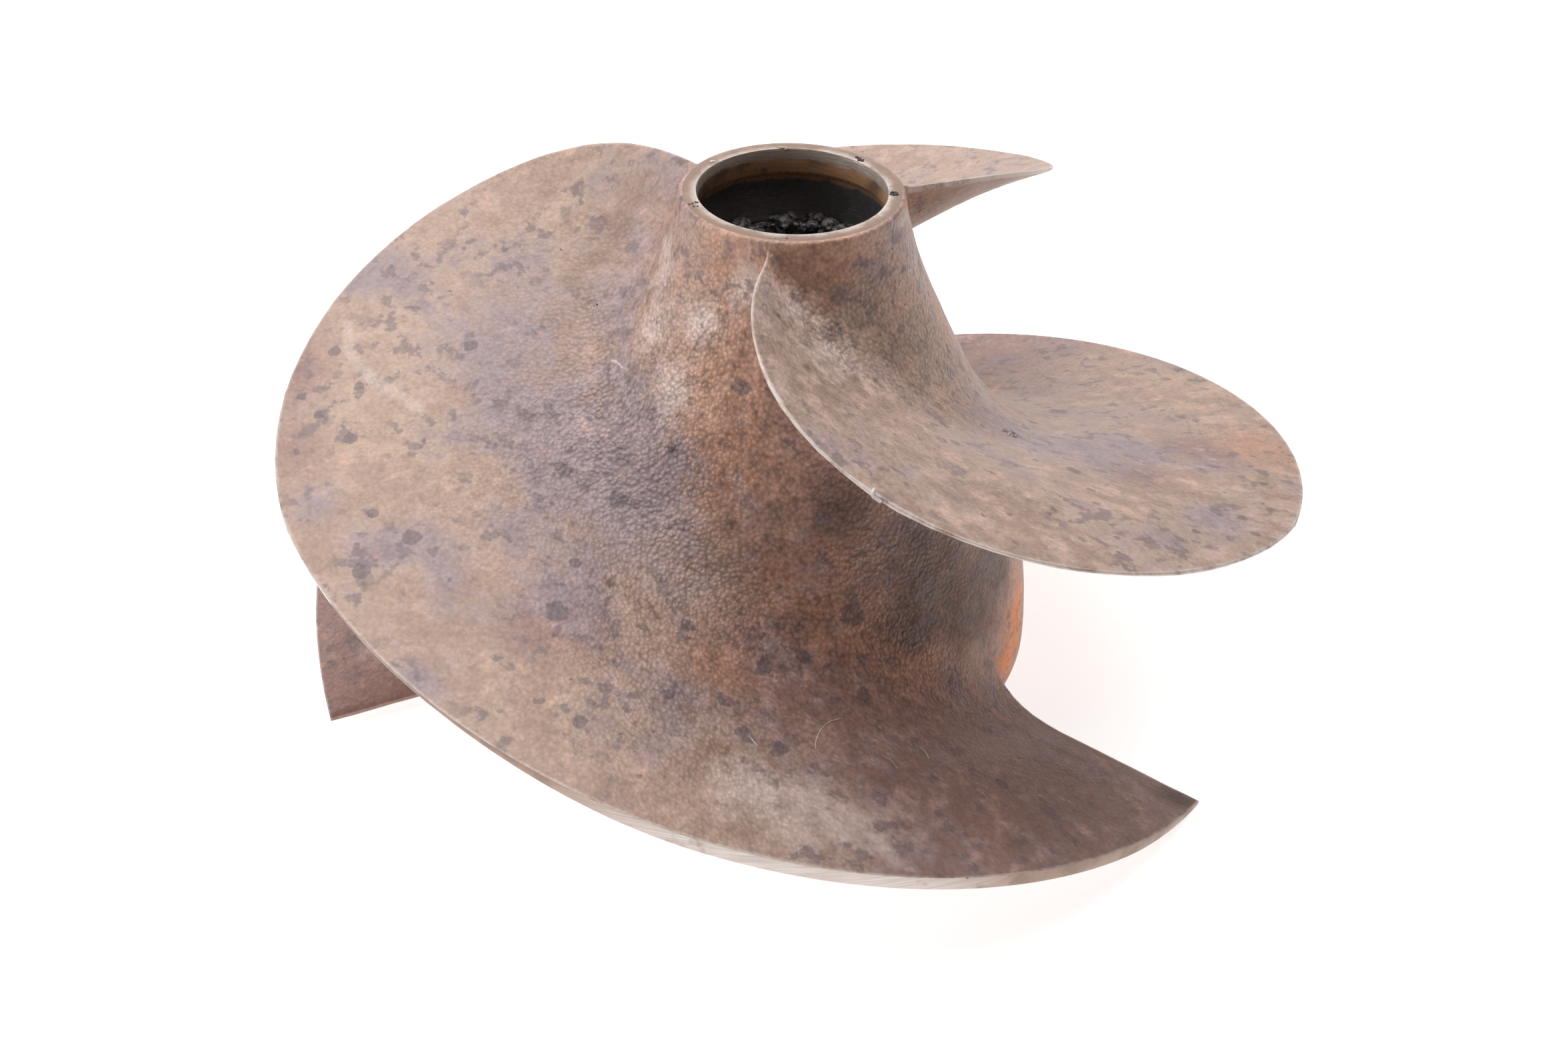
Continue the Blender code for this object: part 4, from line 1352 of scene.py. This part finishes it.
@dataclass(frozen=True)
class CastPatina:
    """Old cast bronze: tan skin with purple-grey bloom, brown and orange areas, spots and sand grain, with
    painted shade, light and glow laid in.
    """

    tan: Colour = (0.575, 0.42, 0.33)
    sand: Colour = (0.455, 0.31, 0.248)
    # brown of the patina, also painted shade on the blades' low trailing parts
    brown: Colour = (0.34, 0.205, 0.182)
    purple: Colour = (0.355, 0.275, 0.298)
    deep: Colour = (0.145, 0.113, 0.128)
    fleck: Colour = (0.21, 0.16, 0.17)
    # orange-brown of the patina, also the painted glow low on the hub's right
    warm: Colour = (0.55, 0.29, 0.195)
    # orange of a rust spot, also the painted glow low on the hub's right
    rust: Colour = (0.9, 0.30, 0.08)
    # colour of the painted shade under the second blade
    dark: Colour = (0.13, 0.08, 0.065)
    # pale tone of a bare patch on the first blade, also used as painted light on the hub
    pale: Colour = (0.80, 0.66, 0.605)
    worn: Colour = (0.88, 0.78, 0.72)
    pit: Colour = (0.035, 0.03, 0.03)
    aside: tuple = (0.31, 0.17, 0.05)
    metallic: float = 0.2
    grain_depth: float = 0.15 * MM
    drift: float = 1.4 * MM
    # about how wide the blobs of each noise are
    drift_size: float = 2.2 * MM
    blotch_size: float = 13.0 * MM
    mottle_size: float = 4.0 * MM
    fleck_size: float = 2.8 * MM

    def build(self, effects: Effects) -> Any:
        """Builds the material."""
        made, g, shader = new_finish("cast_patina", self.metallic)
        where = g.object_place()
        drift = g.vector("SUBTRACT", g.noise(where, self.drift_size, 2.0, out="Color"), (0.5, 0.5, 0.5))
        bent = g.vector("ADD", where, g.scaled(drift, self.drift))
        blotch = g.noise(where, self.blotch_size, 4.0, 0.62)
        mottle = g.noise(where, self.mottle_size, 5.0, 0.68)
        coarse = g.read("coarse", "Fac")
        grain = g.add("ShaderNodeGroup", {"Vector": where}, node_tree=effects.grain).outputs
        colour = self.blend_zones(g, effects, blotch, mottle)
        flecks = g.noise(g.vector("ADD", where, self.aside), self.fleck_size, 4.0, 0.6)
        flecks = g.remap(flecks, 0.54, 0.62)
        flecks = g.times(flecks, g.remap(blotch, 0.38, 0.55))
        colour = g.blend(g.times(flecks, 0.62), colour, self.fleck)
        colour = self.add_strokes(g, effects, self.add_spots(g, effects, colour, bent, mottle), bent)
        depth = g.times_plus(coarse, 1.1, 0.35)
        shade = g.times(g.minus(grain["Shade"], 0.5), depth)
        shade = g.plus(g.times_plus(mottle, 0.7, 0.65), shade)
        shade = g.add("ShaderNodeCombineColor", {0: shade, 1: shade, 2: shade})
        colour = g.blend(1.0, colour, shade, "MULTIPLY")
        wear = g.times(g.read("wear", "Fac"), g.remap(mottle, 0.3, 0.55))
        colour = g.blend(wear, colour, self.worn)
        g.plug(shader.inputs["Base Color"], colour)
        g.plug(shader.inputs["Roughness"], g.remap(mottle, 0.3, 0.7, (0.42, 0.62)))
        bump(g, shader, g.times(grain["Height"], g.times_plus(coarse, 0.8, 0.2)), self.grain_depth)
        return made

    def blend_zones(self, g: TextureGraph, effects: Effects, blotch: Any, mottle: Any) -> Any:
        """Lays the tones over each other by the painted zones, with edges broken by noise.

        Args:
            g: The material's graph.
            effects: Shared node groups.
            blotch: Wide noise.
            mottle: Finer noise.

        Returns:
            The colour.
        """
        zones = g.add("ShaderNodeSeparateColor", {"Color": g.read("patina")}).outputs
        both = g.times_plus(blotch, 0.6, g.times(mottle, 0.4))
        colour = g.blend(g.remap(both, 0.4, 0.6), self.sand, self.tan)
        layers = [
            # zone, noise that breaks its edge, how far, softness, tone, most
            # brown: patina, and partly painted shade on the blades' low trailing parts
            (g.read("brown", "Fac"), both, 3.0, 0.45, self.brown, 0.85),
            # warm: orange-brown patina, and painted glow low on the hub's right
            (zones[1], mottle, 2.2, 0.5, self.warm, 0.8),
            (zones[0], both, 4.0, 0.4, self.purple, 0.85),
            # pale: a bare patch on the first blade, and painted light on the hub's left side and the second
            # blade's root
            (g.read("patina", "Alpha"), mottle, 2.2, 0.6, self.pale, 0.7),
            # painted shade under the second blade
            (zones[2], both, 2.0, 0.45, self.dark, 0.92),
            # rust spot, and painted orange glow low on the hub's right
            (g.read("rust", "Fac"), mottle, 1.5, 0.4, self.rust, 0.9),
        ]
        for zone, cloud, rough_edge, soft, tone, most in layers:
            inputs = {"Zone": zone, "Noise": cloud, "Break": rough_edge, "Softness": soft}
            colour = g.blend(g.times(g.use(effects.mottle, inputs), most), colour, tone)
        return colour

    def spots(self) -> list[tuple]:
        """Dark spots that stand out, each (x, y, z, radius) in millimetres."""
        edge = [(-68.4, -19, 54, 0.9), (-65.5, -22, 53, 0.8), (-60.4, -25.6, 51.6, 1.2)]
        edge += [(-66.9, -28.8, 51.4, 0.7), (-65.8, -10.4, 56.2, 1), (-61.1, -16.3, 54.2, 0.9)]
        edge += [(-55.1, -37.4, 47.9, 0.9)]
        middle = [(-49.4, -40.3, 46.3, 1.6), (-31.3, -25, 46.5, 1.6), (-46.5, -7.8, 56, 1.2)]
        middle += [(-54.5, -47, 45.8, 1.4), (-28.3, -39.1, 41.3, 1.1), (-29.7, -47.4, 40, 1.9)]
        middle += [(-23.5, -40.6, 39.4, 0.9)]
        front = [(-12.9, -43.6, 34.6, 1.3), (-2.3, -46.2, 29.4, 1.6), (3.2, -42.4, 27.9, 1.3)]
        front += [(-7.4, -54.1, 31.1, 1.5), (-4.4, -58.8, 29.8, 1.6), (0.2, -59.4, 28, 1.2)]
        front += [(11.7, -44.7, 22.6, 1.7), (10, -35.4, 29.8, 2.2), (31.2, -53.3, 14.7, 1.1)]
        front += [(-14.5, -55.9, 33.7, 1.2), (-24.8, -63.3, 36.3, 1.0)]
        hub = [(-6.5, -21.8, 59, 1.5), (-15.9, -23.1, 49.3, 0.8), (-23.5, -28, 43.8, 1.6)]
        second = [(61.2, -35.8, 49.4, 1), (53.3, -42.2, 52, 0.8), (39.6, -28.2, 51.1, 1.1)]
        second += [(61.7, -40.3, 50.3, 0.8)]
        return edge + middle + front + hub + second

    def strokes(self) -> list[tuple]:
        """Scuffs, scratches and seams: tone, strength, then width and places in millimetres."""
        scuff = [(-64.9, -5.3, 57.7), (-63.3, -11.2, 55.9), (-59.1, -15.1, 54.4), (-52.4, -18.9, 52.6)]
        return [
            (self.worn, 0.2, 1.3, scuff),
            (self.worn, 0.6, 0.25, [(-27.0, -8.6, 55.3), (-24.0, -11.1, 55.1)]),
            (self.deep, 0.6, 0.35, [(-12.4, -11.8, 72.2), (-9.0, -14.7, 71.6), (-6.0, -16.5, 71.4)]),
            (self.deep, 0.45, 0.45, [(-11.6, -16.4, 65.0), (-13.4, -16.8, 61.0), (-15.8, -18.2, 55.0)]),
            (self.deep, 0.5, 0.4, [(-26.2, -10.2, 54.6), (-26.0, -12.4, 53.4), (-25.8, -14.2, 52.5)]),
        ]

    def add_strokes(self, g: TextureGraph, effects: Effects, colour: Any, bent: Any) -> Any:
        """Lays every stroke over a colour.

        Args:
            g: The material's graph.
            effects: Shared node groups.
            colour: Colour below.
            bent: Coordinates that are pushed about by noise.

        Returns:
            The colour with the strokes.
        """
        for tone, most, width, places in self.strokes():
            mask: Any = 0.0
            for first, last in zip(places, places[1:]):
                ends = [tuple(part * MM for part in place) for place in (first, last)]
                inputs = {"Vector": bent, "Start": ends[0], "End": ends[1], "Width": width * MM}
                mask = g.math("MAXIMUM", mask, g.use(effects.stroke_mark, inputs))
            colour = g.blend(g.times(mask, most), colour, tone)
        return colour

    def add_spots(self, g: TextureGraph, effects: Effects, colour: Any, bent: Any, mottle: Any) -> Any:
        """Adds the noted spots, scattered ones of two sizes and small black pits.

        Args:
            g: The material's graph.
            effects: Shared node groups.
            colour: Colour below.
            bent: Coordinates that are pushed about by noise.
            mottle: Noise that thins the small spots out.

        Returns:
            The colour with the spots.
        """
        noted: Any = 0.0
        for x, y, z, radius in self.spots():
            inputs = {"Vector": bent, "Middle": (x * MM, y * MM, z * MM), "Radius": radius * MM}
            noted = g.math("MAXIMUM", noted, g.use(effects.round_mark, inputs))
        wide = g.use(effects.spots, {"Vector": bent, "Cell": 9 * MM, "Share": 0.4, "Radius": 0.16})
        small = g.use(effects.spots, {"Vector": bent, "Cell": 3.4 * MM, "Share": 0.3, "Radius": 0.17})
        some = g.remap(mottle, 0.44, 0.56)
        fray = g.times_plus(g.noise(bent, 1.5 * MM, 3.0, 0.6), 1.8, -0.9)
        for mask, most in ((noted, 0.6), (wide, 0.36), (g.times(small, some), 0.5)):
            mask = g.remap(g.plus(mask, fray), 0.4, 0.75)
            colour = g.blend(g.times(mask, most), colour, self.deep)
        pits = g.use(effects.spots, {"Vector": bent, "Cell": 3.2 * MM, "Share": 0.14, "Radius": 0.05})
        return g.blend(pits, colour, self.pit)


@dataclass(frozen=True)
class TurnedBronze:
    """Bare turned bronze of the blade lands, the nose rim and the rear seat, stained and nicked."""

    bright: Colour = (0.93, 0.87, 0.83)
    dull: Colour = (0.66, 0.57, 0.53)
    satin: Colour = (0.36, 0.225, 0.16)
    stain: Colour = (0.30, 0.20, 0.15)
    nick: Colour = (0.06, 0.05, 0.05)
    metallic: float = 0.35

    def build(self, effects: Effects) -> Any:
        """Builds the material."""
        made, g, shader = new_finish("turned_bronze", self.metallic)
        where = g.object_place()
        marks = g.use(effects.turning, {"Vector": where, "Run": 9.0, "Pitch": 0.22 * MM})
        cloud = g.noise(where, 5 * MM, 4.0, 0.65)
        colour = g.blend(g.remap(marks, 0.3, 0.7), self.dull, self.bright)
        soil = g.read("soil", "Fac")
        colour = g.blend(g.times(soil, 1.2, clamp=True), colour, self.satin)
        inputs = {"Zone": g.times(soil, 0.7), "Noise": cloud, "Break": 2.4, "Softness": 0.2}
        colour = g.blend(g.times(g.use(effects.mottle, inputs), 0.8), colour, self.stain)
        nicks = g.use(effects.spots, {"Vector": where, "Cell": 3.0 * MM, "Share": 0.22, "Radius": 0.13})
        colour = g.blend(g.times(nicks, 0.8), colour, self.nick)
        g.plug(shader.inputs["Base Color"], colour)
        g.plug(shader.inputs["Roughness"], g.remap(cloud, 0.35, 0.65, (0.3, 0.5)))
        bump(g, shader, g.minus(marks, g.times(nicks, 2.0)), 0.03 * MM)
        return made


@dataclass(frozen=True)
class SootyBore:
    """Bore of the nose: a grey and orange turned band at its mouth, and greasy black below."""

    grey: Colour = (0.80, 0.70, 0.62)
    orange: Colour = (0.98, 0.55, 0.29)
    brown: Colour = (0.26, 0.16, 0.115)
    soot: Colour = (0.11, 0.105, 0.106)
    mouth: float = 78.3 * MM
    band: float = 1.6 * MM
    band_blur: float = 0.3 * MM
    register: float = 5.2 * MM
    # how far the soot's edge reaches below and above the register
    soot_blur: tuple = (0.35 * MM, 0.25 * MM)
    metallic: float = 0.35

    def build(self, effects: Effects) -> Any:
        """Builds the material."""
        made, g, shader = new_finish("sooty_bore", self.metallic)
        where = g.object_place()
        cloud = g.noise(where, 3.2 * MM, 4.0, 0.62)
        wide = g.noise(where, 13 * MM, 2.0, 0.5)
        height = g.add("ShaderNodeSeparateXYZ", {"Vector": where}).outputs["Z"]
        height = g.plus(height, g.times_plus(cloud, 1.6 * MM, -0.8 * MM))
        marks = g.use(effects.turning, {"Vector": where, "Run": 7.0, "Pitch": 0.3 * MM})
        colour = g.blend(g.remap(wide, 0.38, 0.52), self.brown, self.orange)
        step = self.mouth - self.band
        share = g.remap(height, step - self.band_blur, step + self.band_blur)
        colour = g.blend(share, colour, self.grey)
        stains = g.use(effects.spots, {"Vector": where, "Cell": 6 * MM, "Share": 0.45, "Radius": 0.3})
        colour = g.blend(g.times(g.math("MAXIMUM", stains, g.read("soil", "Fac")), 0.85), colour, self.brown)
        step = self.mouth - self.register
        below = g.remap(height, step + self.soot_blur[1], step - self.soot_blur[0])
        colour = g.blend(below, colour, self.soot)
        g.plug(shader.inputs["Base Color"], colour)
        g.plug(shader.inputs["Roughness"], g.remap(cloud, 0.35, 0.65, (0.22, 0.45)))
        bump(g, shader, g.plus(marks, g.times(cloud, 2.0)), 0.06 * MM)
        return made


@dataclass(frozen=True)
class GreasySteel:
    """Dark steel of the spline sleeve under a film of old grease."""

    steel: Colour = (0.34, 0.325, 0.33)
    film: Colour = (0.08, 0.076, 0.078)
    metallic: float = 0.6

    def build(self, effects: Effects) -> Any:
        """Builds the material."""
        made, g, shader = new_finish("greasy_steel", self.metallic)
        where = g.object_place()
        cloud = g.noise(where, 1.8 * MM, 3.0, 0.6)
        inputs = {"Vector": where, "Grain": 0.5 * MM}
        grain = g.add("ShaderNodeGroup", inputs, node_tree=effects.grain).outputs
        g.plug(shader.inputs["Base Color"], g.blend(g.remap(cloud, 0.42, 0.6), self.film, self.steel))
        g.plug(shader.inputs["Roughness"], g.remap(cloud, 0.35, 0.65, (0.25, 0.5)))
        bump(g, shader, g.plus(grain["Height"], g.times(cloud, 2.0)), 0.15 * MM)
        return made


@dataclass(frozen=True)
class SpeckFinish:
    """One loose stuff: grease, lint or crumbs, told apart by its two colours."""

    name: str
    low: Colour
    high: Colour
    gloss: float

    def build(self) -> Any:
        """Builds the material."""
        made, g, shader = new_finish(self.name, 0.0)
        cloud = g.noise(g.object_place(), 0.9 * MM, 3.0, 0.6)
        g.plug(shader.inputs["Base Color"], g.blend(g.remap(cloud, 0.4, 0.6), self.low, self.high))
        g.plug(shader.inputs["Roughness"], g.remap(cloud, 0.4, 0.6, (self.gloss, self.gloss + 0.2)))
        bump(g, shader, cloud, 0.12 * MM)
        return made


# Studio


@dataclass
class Studio:
    """Floor, light and camera."""

    eye: tuple = (0.0, -0.18422, 0.16631)
    pitch: float = math.radians(38.859)
    yaw: float = math.radians(-0.006)
    roll: float = math.radians(1.404)
    focal_pixels: float = 2115.3
    frame_width: float = 2352.0
    sensor: float = 36.0
    near: float = 0.01
    white: Colour = (1.0, 1.0, 1.0)
    floor_reach: float = 3.0
    floor_tone: Colour = (0.9, 0.9, 0.9)
    floor_roughness: float = 0.9
    floor_glow: float = 0.74
    fill: float = 0.04
    softboxes: tuple = (
        # name, azimuth and elevation in degrees, watts
        ("left", 185, 27, 3.2),
        ("left_back", 135, 60, 3.0),
        ("right_back", 45, 55, 2.5),
        ("back", 90, 25, 1.25),
        ("top", 0, 88, 2.1),
    )
    box_size: float = 0.6
    box_distance: float = 0.9
    box_aim: tuple = (0.0, 0.0, 0.04)

    def camera(self) -> None:
        """The camera at the photograph's place."""
        data = bpy.data.cameras.new("camera")
        data.sensor_fit, data.sensor_width = "HORIZONTAL", self.sensor
        data.lens = self.focal_pixels / self.frame_width * self.sensor
        data.clip_start = self.near
        cp, sp = math.cos(self.pitch), math.sin(self.pitch)
        cy, sy = math.cos(self.yaw), math.sin(self.yaw)
        ahead = Vector((sy * cp, cy * cp, -sp))
        right = Vector((cy, -sy, 0.0))
        up = right.cross(ahead)
        cr, sr = math.cos(self.roll), math.sin(self.roll)
        across, above = cr * right + sr * up, cr * up - sr * right
        place = Matrix((across, above, -ahead)).transposed().to_4x4()
        place.translation = Vector(self.eye)
        obj = bpy.data.objects.new("camera", data)
        obj.matrix_world = place
        bpy.context.scene.collection.objects.link(obj)
        bpy.context.scene.camera = obj

    def floor(self) -> None:
        """A plain pale floor."""
        size = self.floor_reach
        corners = np.array([(-size, -size, 0), (size, -size, 0), (size, size, 0), (-size, size, 0)])
        floor = add_object("floor", grid_mesh("floor", corners, np.array([(0, 1, 2, 3)])))
        finish, _, shader = new_finish("floor", 0.0)
        shader.inputs["Base Color"].default_value = rgba(self.floor_tone)
        shader.inputs["Roughness"].default_value = self.floor_roughness
        shader.inputs["Emission Color"].default_value = rgba(self.white)
        shader.inputs["Emission Strength"].default_value = self.floor_glow
        floor.data.materials.append(finish)

    def lights(self) -> None:
        """Faint white surroundings and large softboxes behind, at the left and overhead."""
        world = bpy.data.worlds.new("studio")
        world.use_nodes = True
        ground = world.node_tree.nodes["Background"]
        ground.inputs["Color"].default_value = rgba(self.white)
        ground.inputs["Strength"].default_value = self.fill
        bpy.context.scene.world = world
        for name, azimuth, elevation, power in self.softboxes:
            lamp = bpy.data.lights.new(name, "AREA")
            lamp.shape, lamp.size, lamp.energy = "DISK", self.box_size, power
            turn, rise = math.radians(azimuth), math.radians(elevation)
            way = Vector((math.cos(rise) * math.cos(turn), math.cos(rise) * math.sin(turn), math.sin(rise)))
            obj = bpy.data.objects.new(name, lamp)
            obj.location = way * self.box_distance
            aim = Vector(self.box_aim) - obj.location
            obj.rotation_euler = aim.to_track_quat("-Z", "Y").to_euler()
            bpy.context.scene.collection.objects.link(obj)

    def build(self) -> None:
        """Sets the studio up."""
        self.camera()
        self.floor()
        self.lights()
        bpy.context.scene.view_settings.view_transform = "Standard"


def main() -> None:
    """Builds every piece and reports it."""
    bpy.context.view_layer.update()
    Studio().build()
    effects = Effects()
    crumbs = crumb_tree()
    hub = HubForm()
    blade = BladeForm(hub, FallRule())
    skins = {
        Skin.CAST: CastPatina().build(effects),
        Skin.MACHINED: TurnedBronze().build(effects),
        Skin.BORE: SootyBore().build(effects),
    }
    casting = ImpellerCasting(hub, blade, skins).build()
    pieces = [casting, SplineSleeve(GreasySteel().build(effects)).build()]
    grease = SpeckFinish("old_grease", (0.04, 0.037, 0.038), (0.24, 0.22, 0.215), 0.12).build()
    pieces.append(BoreGrease(grease, crumbs).build())
    stuffs = {
        Stuff.LINT: SpeckFinish("lint", (0.62, 0.58, 0.55), (0.85, 0.82, 0.8), 0.6).build(),
        Stuff.SOOT: SpeckFinish("soot_clot", (0.015, 0.013, 0.013), (0.07, 0.055, 0.05), 0.45).build(),
        Stuff.CRUMB: SpeckFinish("tan_crumb", (0.42, 0.28, 0.16), (0.7, 0.55, 0.38), 0.6).build(),
        Stuff.SCALE: SpeckFinish("bronze_scale", (0.2, 0.14, 0.12), (0.6, 0.5, 0.45), 0.4).build(),
    }
    pieces += LooseDirt(casting, stuffs, crumbs).build()
    for piece in pieces:
        log.info("%s: %d faces", piece.name, len(piece.data.polygons))


if __name__ == "__main__":
    main()
